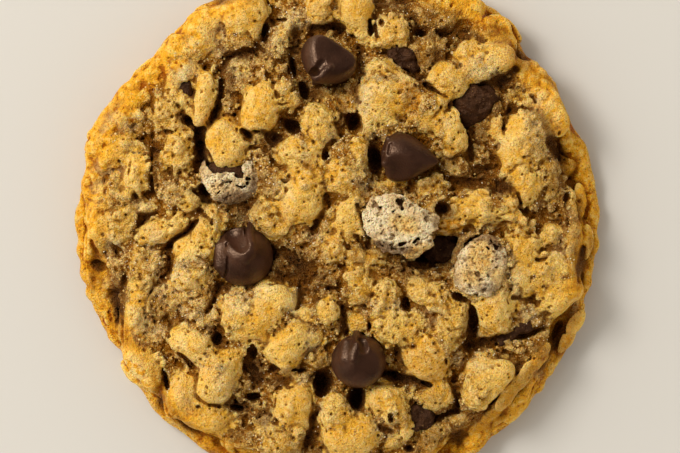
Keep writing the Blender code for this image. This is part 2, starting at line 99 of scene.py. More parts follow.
# Mounds of coated oats: (x, y, half length, half width, turn, lift over the frame's cap,
# crumbliness 0-1, tone from -1 pale to 1 deep gold)
MOUNDS = (
    # upper left
    (-35.0, 22.9, 2.9, 1.9, 45, 0.3, 0.0, 0.3), (-39.3, 16.6, 3.2, 2.3, 60, 0.1, 0.4, 0.4),
    (-35.8, 19.3, 2.6, 1.8, 30, 0.5, 0.3, -0.3), (-30.5, 26.5, 3.0, 2.2, 40, 0.2, 0.5, 0.3),
    (-27.0, 30.6, 3.4, 2.2, 45, 0.8, 0.3, 0.2), (-22.8, 33.8, 3.4, 2.6, 55, 0.9, 0.2, 0.0),
    (-26.0, 27.0, 2.1, 2.0, 60, 0.3, 0.3, -0.9), (-22.5, 23.8, 2.8, 1.2, 84, 0.5, 0.0, 0.1),
    (-23.6, 19.8, 3.2, 1.5, 66, 0.5, 0.0, 0.2), (-29.3, 18.9, 2.2, 2.0, 90, 0.1, 0.6, 0.0),
    (-27.2, 13.6, 4.2, 2.2, 95, 0.1, 0.4, 0.2), (-16.2, 36.5, 3.8, 2.6, 15, 0.3, 0.1, 0.0),
    (-16.3, 34.4, 3.2, 1.4, -8, -0.3, 0.1, -0.2), (-16.4, 31.6, 3.2, 1.8, 8, 0.3, 0.8, 0.3),
    (-17.2, 27.0, 1.9, 2.0, 90, -0.3, 0.6, -0.7), (-12.2, 27.4, 2.4, 2.0, 90, -0.2, 0.8, 0.1),
    (-9.2, 32.8, 2.7, 1.0, 62, -0.1, 0.5, -0.2), (-7.6, 35.2, 2.6, 1.7, 10, 0.1, 0.5, -0.7),
    (-3.3, 36.6, 2.7, 2.2, 90, 0.2, 0.4, 0.3), (-12.9, 19.8, 4.7, 2.9, 74, 0.2, 0.0, 0.0),
    (-8.8, 22.4, 2.5, 1.7, 118, -0.1, 0.3, 0.3), (-19.2, 13.8, 4.0, 3.8, 150, 0.5, 0.0, 0.1),
    (-3.6, 17.2, 3.3, 2.9, 100, 0.1, 0.3, 0.1), (-17.6, 23.0, 2.9, 1.5, 80, 0.1, 1.0, -0.2),
    (-31.6, 22.0, 2.2, 1.8, 70, 0.2, 0.8, 0.1), (-28.0, 30.2, 2.6, 1.7, 30, 0.2, 0.6, 0.3),
    (-33.4, 16.6, 1.6, 1.4, 40, 0.0, 0.8, 0.4), (-30.0, 9.8, 1.8, 2.2, 0, 0.4, 0.8, 0.0),
    # upper right
    (2.9, 36.8, 3.5, 2.6, 80, 0.3, 0.0, 0.1), (4.6, 32.6, 2.0, 1.5, -35, 0.4, 0.2, 0.0),
    (9.2, 33.2, 3.6, 2.5, 10, 0.1, 0.3, 0.3), (16.5, 36.6, 3.9, 2.6, 0, 0.2, 0.8, 0.5),
    (7.6, 27.2, 2.4, 1.5, -10, 0.0, 0.4, 0.0), (7.5, 21.8, 3.8, 3.4, 90, 0.2, 0.2, -0.2),
    (12.0, 21.2, 4.0, 3.2, -45, 0.0, 0.5, 0.6), (15.6, 18.6, 2.9, 2.4, -70, 0.1, 0.1, 0.3),
    (11.6, 25.0, 1.7, 0.9, -35, -0.1, 0.4, -0.3), (18.8, 25.0, 3.4, 2.5, -20, 0.2, 0.2, 0.2),
    (15.3, 30.3, 2.6, 1.9, 60, 0.4, 0.8, 0.3), (19.4, 17.4, 2.6, 1.5, 88, 0.5, 0.1, 0.0),
    (20.0, 14.8, 2.2, 2.0, 100, 0.2, 0.3, 0.1), (23.6, 28.6, 3.6, 2.8, -30, 0.1, 0.3, -0.3),
    (27.6, 29.2, 2.8, 2.2, 10, 0.2, 0.1, -0.2), (24.4, 26.6, 2.4, 1.6, -20, 0.1, 0.4, -0.7),
    (25.5, 33.0, 2.4, 1.4, 0, 0.0, 0.7, 0.5), (22.5, 37.4, 3.2, 2.0, -34, 0.3, 0.1, 0.2),
    (28.6, 33.2, 2.6, 0.9, -56, 0.7, 0.0, 0.2), (33.0, 25.4, 3.6, 2.3, -40, 0.3, 0.5, 0.3),
    (36.5, 20.4, 5.2, 2.1, -62, 0.9, 0.1, 0.4), (30.4, 14.6, 4.6, 2.9, 62, 0.2, 0.0, 0.0),
    (33.4, 15.4, 4.9, 2.6, 78, 0.0, 0.6, 0.2), (27.0, 17.4, 1.7, 1.0, 60, 0.2, 0.3, 0.3),
    (24.2, 15.4, 2.8, 1.0, 90, 0.0, 0.8, 0.2), (31.6, 22.4, 1.9, 1.7, 30, 0.3, 0.6, 0.1),
    # middle right
    (32.2, 7.5, 3.5, 2.2, 82, 0.3, 0.2, 0.1), (36.5, 8.0, 3.9, 1.4, 86, 0.0, 0.6, 0.3),
    (23.7, 3.4, 2.8, 2.3, 40, 0.2, 0.2, 0.1), (25.4, 1.8, 2.2, 2.0, 0, 0.2, 0.2, 0.1),
    (28.8, 3.2, 1.9, 1.3, 80, 0.1, 0.4, 0.1), (30.4, 0.2, 1.7, 1.2, 0, 0.6, 0.5, 0.0),
    (36.0, -0.8, 1.9, 1.2, 70, 1.0, 0.3, -0.1), (39.4, 3.0, 2.9, 1.1, 95, 0.0, 0.6, 0.3),
    (40.1, -1.9, 2.7, 1.1, 85, 0.0, 0.5, 0.3), (31.5, -3.0, 2.8, 1.8, -10, 0.2, 0.2, 0.1),
    (31.1, -7.2, 2.7, 3.6, 10, 0.2, 0.1, 0.1), (35.0, -7.8, 2.6, 3.4, 0, 0.0, 0.4, 0.2),
    (37.2, -6.4, 2.4, 2.8, 20, 0.2, 0.1, -0.1), (38.2, -11.2, 3.9, 2.9, 35, 0.3, 0.1, -0.1),
    (26.2, -13.3, 3.8, 3.3, 20, 0.6, 0.1, -0.3), (26.6, -16.4, 2.2, 1.9, -20, 0.0, 0.4, 0.3),
    (32.5, -14.9, 1.7, 1.4, 60, 0.9, 0.9, -0.6), (20.9, 2.4, 2.1, 1.7, 20, 0.2, 0.4, 0.2),
    (18.6, 11.3, 2.9, 1.0, -58, 0.3, 0.6, 0.1), (15.4, 6.9, 2.1, 1.4, 25, 0.2, 0.6, 0.2),
    (16.4, 4.2, 1.9, 1.5, 20, -0.1, 0.9, 0.1), (8.4, 7.0, 2.3, 1.2, 22, 0.5, 0.3, 0.2),
    (19.7, 0.2, 2.0, 1.0, 0, 0.5, 0.2, 0.6),
    # lower right
    (24.6, -24.2, 2.6, 2.4, 40, 0.2, 0.2, 0.1), (23.6, -27.6, 3.0, 2.4, 80, 0.5, 0.5, 0.1),
    (27.2, -26.2, 3.4, 1.4, 68, 0.5, 0.0, 0.0), (28.2, -24.4, 1.6, 1.1, 40, 0.2, 0.0, 0.2),
    (19.2, -15.6, 4.0, 3.0, 80, 0.2, 0.5, 0.1), (15.0, -22.6, 4.2, 3.7, 30, 0.2, 0.0, 0.4),
    (17.6, -19.6, 2.4, 1.8, -40, 0.0, 0.2, 0.2), (16.8, -28.6, 2.6, 1.9, 20, 0.0, 0.4, 0.1),
    (8.2, -29.4, 3.2, 2.6, -30, 0.3, 0.1, 0.2), (10.8, -31.6, 2.8, 1.3, -70, -0.1, 0.4, 0.3),
    (9.5, -16.7, 4.4, 2.7, -18, 0.3, 0.4, 0.0), (2.8, -16.0, 1.9, 1.6, 0, 0.3, 0.3, 0.1),
    (2.0, -35.4, 4.8, 3.6, 8, 0.4, 0.0, 0.2), (15.8, -36.0, 2.8, 1.6, 48, 0.1, 0.6, 0.4),
    (10.0, -36.6, 2.2, 1.7, 20, 0.4, 0.6, 0.0), (3.6, -8.8, 2.8, 2.2, -20, 0.4, 0.6, -0.1),
    (8.0, -12.0, 2.0, 3.4, 0, 0.3, 0.6, 0.0), (14.6, -11.0, 2.7, 2.5, -10, 0.1, 0.4, 0.2),
    (17.0, -12.6, 2.0, 1.8, -30, 0.2, 0.7, 0.0), (4.4, -5.4, 3.6, 1.8, 8, 0.2, 0.5, 0.4),
    (3.6, -11.6, 2.2, 1.6, 30, 0.2, 0.5, 0.3), (33.4, -20.6, 1.8, 1.2, 30, 0.1, 0.8, 0.4),
    (33.4, -23.4, 2.6, 0.9, 50, 0.0, 0.7, 0.5), (30.8, -28.6, 3.2, 1.0, 52, 0.7, 0.1, 0.3),
    (27.6, -32.4, 3.0, 1.1, 44, 0.6, 0.2, 0.2), (23.2, -35.4, 3.2, 1.2, 50, 0.5, 0.2, 0.3),
    (20.4, -32.6, 2.4, 1.1, 28, 0.0, 0.6, 0.4),
    # lower left and lower middle
    (-1.0, -31.0, 2.0, 2.6, -6, 0.1, 0.4, 0.0), (-7.6, -30.2, 3.0, 3.0, 0, 0.3, 0.1, 0.2),
    (-8.8, -20.0, 3.8, 2.8, 45, 0.3, 0.0, 0.0), (-3.5, -22.6, 1.7, 1.4, 0, 0.8, 0.6, -0.1),
    (-8.8, -24.2, 1.4, 1.2, 0, 0.8, 0.5, 0.2), (-17.6, -13.9, 2.4, 3.0, 0, 0.2, 0.4, -0.1),
    (-15.4, -16.8, 2.8, 2.4, -20, 0.0, 0.1, 0.1), (-12.6, -14.4, 2.6, 2.8, 0, 0.2, 0.1, 0.2),
    (-10.6, -11.6, 3.6, 2.2, -25, 0.3, 0.1, -0.1), (-12.6, -18.0, 2.2, 1.6, 50, 0.0, 0.1, 0.1),
    (-6.6, -15.4, 2.2, 1.9, 20, 0.3, 0.2, 0.1), (-4.2, -18.4, 2.0, 1.6, -40, 0.2, 0.3, 0.1),
    (-1.8, -14.4, 1.7, 2.0, 20, 0.4, 0.2, 0.1), (-1.8, -8.4, 1.5, 1.2, 0, -0.3, 0.8, 0.3),
    (-20.2, -25.2, 4.2, 3.3, 80, 0.4, 0.1, -0.1), (-20.8, -28.0, 2.8, 2.0, 80, 0.4, 0.1, 0.1),
    (-24.7, -19.7, 3.6, 2.6, -20, 0.3, 0.0, 0.0), (-26.0, -28.2, 2.6, 3.5, 10, 0.8, 0.1, 0.0),
    (-27.4, -30.4, 2.2, 1.6, 30, 0.0, 0.0, 0.2), (-22.4, -33.0, 3.5, 1.8, -10, 0.2, 0.0, 0.2),
    (-34.2, -13.4, 1.7, 4.6, -8, 0.3, 0.2, -0.1), (-36.2, -18.0, 1.3, 1.2, 0, 0.9, 0.1, -0.2),
    (-31.4, -18.4, 1.5, 1.2, 20, 0.1, 0.8, 0.1), (-33.8, -23.4, 4.4, 2.5, -50, 1.0, 0.1, -0.8),
    (-17.4, -36.4, 2.0, 1.5, 20, 0.0, 0.7, 0.4), (-9.5, -36.4, 3.4, 2.4, 0, 0.3, 0.6, 0.0),
    (-25.4, -4.4, 2.8, 2.6, 30, 0.2, 0.2, -0.1), (-22.6, -3.0, 2.0, 3.0, 10, 0.2, 0.3, -0.1),
    (-25.4, -8.6, 3.4, 2.2, 10, 0.1, 0.3, -0.2), (-23.6, -11.8, 3.0, 2.0, -20, 0.2, 0.8, -0.1),
    (-17.2, -21.4, 2.2, 1.6, 20, 0.2, 0.5, -0.1), (-6.6, -34.0, 2.0, 1.4, 20, 0.3, 0.3, 0.0),
    (-12.6, -34.2, 2.5, 1.6, 20, 0.3, 0.6, 0.1), (-3.6, -26.8, 1.0, 1.0, 0, -0.6, 0.6, 0.0),
    # middle left
    (-33.0, -6.4, 2.2, 3.0, 0, 0.3, 0.7, 0.0), (-29.9, -0.9, 4.0, 1.9, 25, 0.3, 0.3, -0.1),
    (-33.0, 3.2, 1.3, 1.1, 20, 0.9, 0.3, -0.3), (-40.4, 2.0, 2.2, 4.0, 0, 0.1, 0.5, 0.3),
    (-36.8, 0.5, 2.0, 3.3, 0, 0.1, 0.5, 0.2), (-34.4, 9.0, 3.4, 2.0, 85, 0.2, 0.1, -0.1),
    (-37.3, 12.8, 3.6, 1.7, 38, 0.1, 0.3, 0.2), (-37.6, 7.5, 2.6, 1.8, 90, 0.2, 0.9, 0.1),
    (-41.0, 11.4, 3.0, 1.6, 90, 0.1, 0.6, 0.6), (-41.6, -3.2, 1.8, 1.7, 20, 0.2, 0.5, 0.4),
    (-27.4, 5.6, 2.6, 2.2, 0, 0.1, 0.8, 0.0), (-25.4, 4.6, 1.8, 2.0, 0, 0.0, 0.4, -0.1),
    (-23.2, -0.6, 1.5, 2.4, 0, 0.3, 0.4, 0.2), (-21.2, 1.4, 2.4, 1.1, -50, 0.1, 0.4, 0.2),
    (-8.2, 12.7, 1.8, 2.7, 0, 0.2, 0.3, 0.0), (-5.6, 13.0, 2.4, 2.6, 10, 0.2, 0.2, 0.0),
    (-6.4, 4.2, 3.1, 3.4, 0, 0.3, 0.1, 0.0), (-5.8, 7.0, 2.1, 2.8, 0, 0.2, 0.1, 0.0),
    (-12.0, 8.8, 1.4, 3.4, 14, 0.4, 1.0, -0.1), (-10.4, 8.0, 1.3, 1.7, 0, 0.5, 0.3, 0.5),
    (-12.6, 1.4, 1.9, 1.4, 0, 0.2, 0.5, 0.3), (-10.2, -0.2, 2.3, 1.7, 20, 0.4, 0.4, 0.2),
    (0.6, 9.0, 3.6, 3.6, 0, 0.1, 0.3, 0.2), (2.8, 11.4, 2.2, 3.4, -20, 0.1, 0.4, 0.2),
    (1.5, 1.6, 2.6, 2.7, 0, 0.2, 0.2, 0.1), (-1.3, -3.8, 2.3, 1.8, 20, 0.2, 0.4, 0.4),
    (-1.6, -1.6, 2.4, 1.5, 30, 0.2, 0.6, 0.0), (1.8, 21.5, 1.2, 1.1, 0, 0.5, 0.5, 0.6),
    (-1.2, 22.0, 1.3, 0.9, 20, 0.3, 0.8, 0.0), (2.6, 24.0, 1.0, 0.7, 10, -0.6, 0.8, 0.3),
    (-30.4, -13.6, 1.8, 1.8, 0, 0.0, 0.9, -0.2), (-28.0, -11.8, 1.6, 2.0, 0, 0.3, 0.8, 0.0),
    (-36.4, -8.0, 1.5, 2.2, 0, -0.3, 0.9, 0.3), (-2.6, 0.8, 1.3, 2.0, 0, 0.2, 0.9, 0.0),
    (10.4, -8.8, 1.7, 1.1, 0, -0.2, 0.7, 0.4), (-37.4, 4.6, 2.0, 2.0, 0, 0.3, 0.9, 0.1),
    (-41.6, 7.0, 2.0, 2.6, 0, 0.2, 0.5, 0.6), (-39.6, -1.6, 1.6, 1.6, 0, 0.3, 0.6, 0.3),
    # smaller lumps between the others
    (-6.4, -25.8, 1.5, 1.3, 0, 0.3, 0.9, -0.4), (-23.4, 30.6, 2.2, 1.5, 50, 0.7, 0.2, -0.3),
    (-18.6, 20.2, 1.3, 1.5, 0, 0.2, 0.8, -0.3),
    (-18.6, 11.5, 1.7, 1.3, 0, 1.0, 0.0, 0.1),
    (-24.2, 30.9, 2.6, 2.0, 50, 0.6, 0.2, -0.2), (-11.4, 3.9, 2.0, 1.8, 0, 0.2, 0.4, 0.1),
    (-32.2, -10.4, 1.8, 2.6, 0, 0.2, 0.6, 0.0), (16.9, 21.6, 1.8, 1.4, 40, 0.0, 0.3, 0.2),
    (-27.5, 25.2, 1.2, 1.4, 0, 0.7, 0.5, -0.9), (-25.9, 26.0, 1.6, 1.0, 0, 0.7, 0.5, -0.9),
    (-27.6, 22.4, 1.1, 1.3, 0, 0.5, 0.7, -0.6), (39.4, 15.0, 3.2, 1.2, -68, 0.3, 0.3, 0.4),
    (4.8, 17.2, 1.5, 2.2, 0, 0.0, 0.5, -0.8), (3.5, 5.4, 2.0, 1.6, 0, 0.1, 0.6, 0.0),
    (29.8, 8.4, 1.2, 1.8, 0, 0.0, 0.6, 0.0), (-34.6, -18.2, 1.6, 2.2, 0, 0.4, 0.3, 0.0),
    (-22.6, -20.6, 2.2, 1.8, 0, 0.2, 0.4, 0.0), (14.6, -18.9, 2.2, 1.6, 0, 0.0, 0.5, 0.0),
    (30.2, -20.0, 2.0, 1.0, 20, 0.4, 0.9, -0.2), (34.0, -15.0, 1.4, 1.1, 0, 0.4, 0.8, -0.4),
    (28.4, -18.0, 1.1, 0.8, 0, 0.4, 0.7, 0.1), (0.9, -31.2, 1.6, 2.2, 0, 0.2, 0.5, 0.0),
    (31.2, -12.2, 1.2, 1.4, 0, 0.1, 0.7, -0.2), (-14.6, -20.2, 1.4, 1.2, 0, -0.2, 0.6, 0.0),
    (14.2, -16.6, 1.8, 2.4, 0, 0.2, 0.6, -0.2), (8.6, 17.4, 3.0, 1.4, -15, -0.2, 0.8, 0.3),
    (-21.9, -15.4, 1.7, 2.2, 10, 0.0, 0.6, -0.6), (-11.4, 5.4, 1.8, 2.2, 0, -0.1, 0.8, 0.1),
    (-6.0, 10.0, 2.6, 1.2, 10, -0.1, 0.7, 0.2), (29.6, 11.0, 1.8, 1.4, 0, -0.3, 0.9, 0.2),
    (30.8, -9.8, 1.4, 2.6, 0, -0.1, 0.7, 0.3), (-28.6, 21.4, 2.2, 1.5, 20, 0.1, 0.7, -0.4),
    (-25.8, 21.8, 1.2, 2.0, 0, 0.1, 0.6, -0.4), (-40.4, 14.6, 3.0, 1.6, 70, 0.3, 0.4, 0.5),
    (-37.4, 18.8, 2.6, 1.6, 55, 0.4, 0.4, 0.4), (-40.2, -11.0, 3.6, 1.1, 104, 0.4, 0.4, 0.1),
)

# Thin flakes standing a little proud: (x, y, half length, half width, turn, lean, lift)
FLAKES = (
    (-16.4, 33.6, 3.4, 1.0, -6, 20, -0.9), (12.6, -4.4, 2.2, 1.1, 30, 12, 0.4),
    (29.0, -28.4, 3.8, 1.0, 58, 40, 0.9), (31.6, -25.4, 3.2, 0.9, 56, 38, 0.9),
    (27.2, -31.0, 3.4, 0.8, 46, 40, 0.4), (34.4, -21.6, 2.6, 0.9, 50, 35, 0.3),
    (30.2, -31.6, 2.8, 0.8, 48, 40, 0.9), (24.6, -33.6, 3.2, 0.8, 40, 35, 0.2),
    (11.8, -34.6, 2.2, 0.8, 70, 20, 0.5),
    (42.6, -2.6, 3.0, 0.7, 88, 40, 0.2), (41.0, -16.4, 2.6, 0.9, 62, 35, 0.5),
    (29.6, 33.4, 2.6, 0.7, -54, 40, 0.8), (41.6, 4.4, 3.0, 0.8, 96, 40, 0.5),
    (39.2, -19.6, 2.4, 0.8, 55, 35, 0.5), (-35.4, -25.2, 3.0, 0.9, -48, 30, 0.3),
    (-38.6, -15.0, 3.2, 0.8, -66, 30, 0.3), (-33.0, 27.0, 3.4, 0.8, 46, 30, 0.3),
)

# Dark holes and pits: (x, y, half length, half width, turn, depth)
HOLES = (
    (-11.0, 14.4, 0.9, 1.2, 0, 1.8),
    (3.1, 18.0, 1.5, 1.8, 0, 5.0), (-15.3, 15.9, 1.6, 0.8, -46, 3.5), (6.2, 11.6, 1.2, 2.6, 8, 4.0),
    (-8.0, 17.2, 1.5, 1.4, 0, 3.0), (-10.2, 35.2, 1.3, 0.6, 10, 2.0), (-2.5, 12.6, 0.8, 0.9, 0, 2.4),
    (20.5, -11.8, 1.3, 0.6, -35, 3.0), (11.4, -13.2, 0.9, 1.4, 10, 3.0), (-2.8, -26.5, 1.9, 2.5, 0, 4.5),
    (3.4, -29.2, 1.4, 2.2, 0, 4.5), (-14.6, -29.4, 1.9, 1.0, 0, 3.6), (-17.6, -31.2, 1.3, 0.7, -15, 3.0),
    (17.0, -3.6, 4.6, 2.0, 20, 4.2), (22.8, -16.6, 1.0, 3.4, 8, 2.6), (5.2, 34.0, 0.6, 1.6, 0, 2.4),
    (-12.4, 33.0, 0.7, 1.8, -10, 2.4), (-29.6, -26.4, 0.8, 2.2, 20, 2.6), (-25.8, -23.0, 2.0, 0.6, -40, 2.0),
    (12.8, -20.4, 0.8, 0.7, 0, 1.4), (18.8, -22.9, 0.6, 0.8, 0, 1.5), (23.5, -11.4, 0.45, 0.45, 0, 1.5),
    (13.2, 24.1, 0.5, 0.3, -50, 0.9), (11.4, 18.9, 0.35, 0.35, 0, 0.9), (37.8, 16.2, 0.4, 0.5, 0, 0.9),
    (18.1, 3.0, 1.3, 1.2, 0, 3.0), (-23.0, 6.0, 0.9, 1.4, 10, 3.0), (-20.3, -18.9, 0.8, 1.2, 20, 3.0),
    (-14.8, -21.6, 0.9, 1.6, 10, 2.8), (9.0, -32.6, 0.6, 0.9, 10, 1.6), (5.0, -16.8, 0.6, 1.2, 10, 2.4),
    (14.6, 33.6, 1.2, 1.2, 0, 2.6), (-26.2, 18.0, 0.8, 0.7, 0, 2.2), (11.0, 28.6, 2.4, 1.3, -15, 1.2),
    (12.2, -38.0, 0.9, 0.7, 0, 2.0), (-27.9, 3.0, 0.6, 0.4, 30, 1.2), (37.6, -17.8, 0.9, 2.2, -35, 2.6),
    (-5.6, 23.4, 1.0, 1.8, 20, 3.0), (-7.6, 27.6, 0.8, 2.2, 15, 3.0), (7.0, 34.6, 0.5, 0.9, 0, 1.4),
)

# Narrow clefts between mounds: (from x, from y, to x, to y, half width, depth)
CLEFTS = (
    (-26.6, 18.6, -24.2, 16.6, 0.6, 2.6), (-24.4, 16.6, -22.9, 10.6, 0.9, 3.4),
    (-20.6, 19.6, -21.8, 17.4, 0.4, 2.0), (-20.4, 20.0, -19.6, 26.6, 0.5, 1.4),
    (-19.6, 26.6, -18.6, 29.2, 0.5, 2.2), (-18.4, 29.4, -14.6, 29.6, 0.5, 2.2),
    (-14.2, 31.0, -12.6, 30.0, 0.4, 1.8), (-13.6, 16.0, -10.0, 15.0, 0.8, 2.6),
    (-10.2, 22.0, -10.8, 24.6, 0.35, 1.2), (6.4, -24.8, 9.4, -25.2, 0.6, 3.0),
    (9.4, -25.2, 15.4, -27.0, 0.45, 2.4), (19.8, -27.4, 20.8, -31.4, 0.5, 1.5),
    (13.0, 26.2, 15.6, 24.4, 0.5, 2.0), (15.6, 24.4, 18.4, 22.6, 0.35, 1.2),
    (29.4, 20.2, 34.4, 19.6, 0.3, 1.4), (34.4, 19.6, 36.2, 15.2, 0.35, 2.0),
    (36.2, 15.2, 37.8, 11.4, 0.5, 2.4), (26.0, 12.4, 27.0, 11.2, 0.2, 0.8),
    (28.6, 16.6, 29.0, 19.6, 0.4, 1.8), (30.4, 5.8, 31.2, 3.6, 0.4, 1.6),
    (27.2, 7.4, 29.4, 6.4, 0.6, 1.8), (-26.6, 16.8, -29.8, 16.4, 0.35, 1.2),
    (-31.2, 13.6, -31.2, 6.4, 0.4, 1.8), (-35.4, 14.2, -33.4, 14.4, 0.4, 1.4),
    (-34.6, 5.6, -35.2, 11.0, 0.4, 1.5), (-28.4, -2.6, -24.6, 0.6, 0.5, 2.0),
    (-29.0, -3.6, -29.6, -8.6, 0.3, 1.0), (-31.4, -9.6, -32.4, -15.0, 0.35, 1.3),
    (-34.4, -1.4, -32.6, 1.4, 0.4, 1.8), (-24.4, 2.4, -21.6, 0.4, 0.4, 1.6),
    (-22.4, 4.2, -24.2, 5.6, 0.7, 2.6), (-19.8, -16.8, -21.2, -17.6, 0.4, 1.4),
    (-24.0, -25.2, -23.6, -29.2, 0.25, 0.8),
    (-23.6, -29.6, -20.4, -31.0, 0.3, 0.9), (-15.8, -23.0, -13.6, -26.6, 0.9, 2.2),
    (-22.6, -14.4, -20.4, -10.4, 0.4, 1.2), (-22.8, 13.4, -21.2, 10.2, 0.7, 2.4),
    (6.0, -26.6, 10.4, -27.0, 0.4, 1.4), (9.8, -20.6, 11.2, -24.2, 0.5, 1.5),
    (-11.6, -24.2, -6.0, -24.4, 0.5, 1.8), (-10.4, -27.6, -8.2, -27.6, 0.3, 1.0),
    (-11.6, -9.6, -5.4, -9.0, 0.9, 1.4), (0.6, -13.4, 0.8, -17.6, 0.4, 2.0),
    (-5.8, -10.6, -8.0, -15.2, 0.35, 1.0), (-4.6, -32.4, -5.8, -37.6, 0.6, 2.0),
    (7.2, -34.0, 9.0, -35.2, 0.4, 1.6),
    (13.0, -30.6, 16.4, -32.4, 0.8, 2.4), (16.4, -32.4, 20.4, -31.2, 0.6, 2.2),
    (20.6, -11.8, 21.6, -12.8, 0.3, 1.2), (22.6, -20.2, 27.4, -19.0, 0.8, 2.2),
    (27.4, -19.0, 31.0, -18.0, 0.45, 2.0), (31.0, -18.0, 35.0, -16.9, 0.4, 1.8),
    (30.4, -12.0, 34.2, -12.6, 0.4, 1.3),
    (29.4, -4.4, 29.2, -8.6, 0.2, 0.4), (34.0, -4.6, 35.4, -5.0, 0.4, 1.6),
    (38.6, 6.8, 39.2, 0.6, 0.4, 1.6), (22.6, -2.0, 25.0, -1.6, 0.35, 1.6),
    (22.0, 23.0, 27.6, 25.4, 0.9, 2.2), (27.6, 25.4, 30.4, 27.4, 0.6, 2.2),
    (20.4, 8.0, 24.6, 7.4, 1.2, 1.6), (21.8, 18.6, 22.8, 11.8, 0.8, 1.8),
    (-9.6, -4.4, -5.2, -8.0, 1.3, 1.0),
    (-3.4, 2.2, -5.0, -0.4, 0.4, 1.4), (3.6, 30.2, 4.2, 26.4, 0.4, 1.4), (-4.6, 34.0, 0.4, 33.6, 0.7, 2.2),
    (3.8, 3.6, 4.2, -2.8, 0.35, 1.2), (12.8, -6.8, 14.8, -6.2, 0.4, 1.2),
    (7.0, 30.0, 12.6, 29.6, 0.4, 1.5),
    (-41.6, -2.4, -41.2, -9.2, 0.5, 1.3), (-36.9, -8.0, -36.6, -20.0, 0.6, 1.6),
    (42.0, -4.0, 41.0, -9.6, 0.8, 2.0), (-30.2, -27.4, -28.6, -31.0, 0.5, 1.3),
    (-28.6, -31.0, -24.4, -34.8, 0.4, 1.1),
    (12.8, 36.0, 13.4, 32.0, 0.6, 2.2), (5.8, 36.0, 6.0, 32.6, 0.4, 2.0),
)

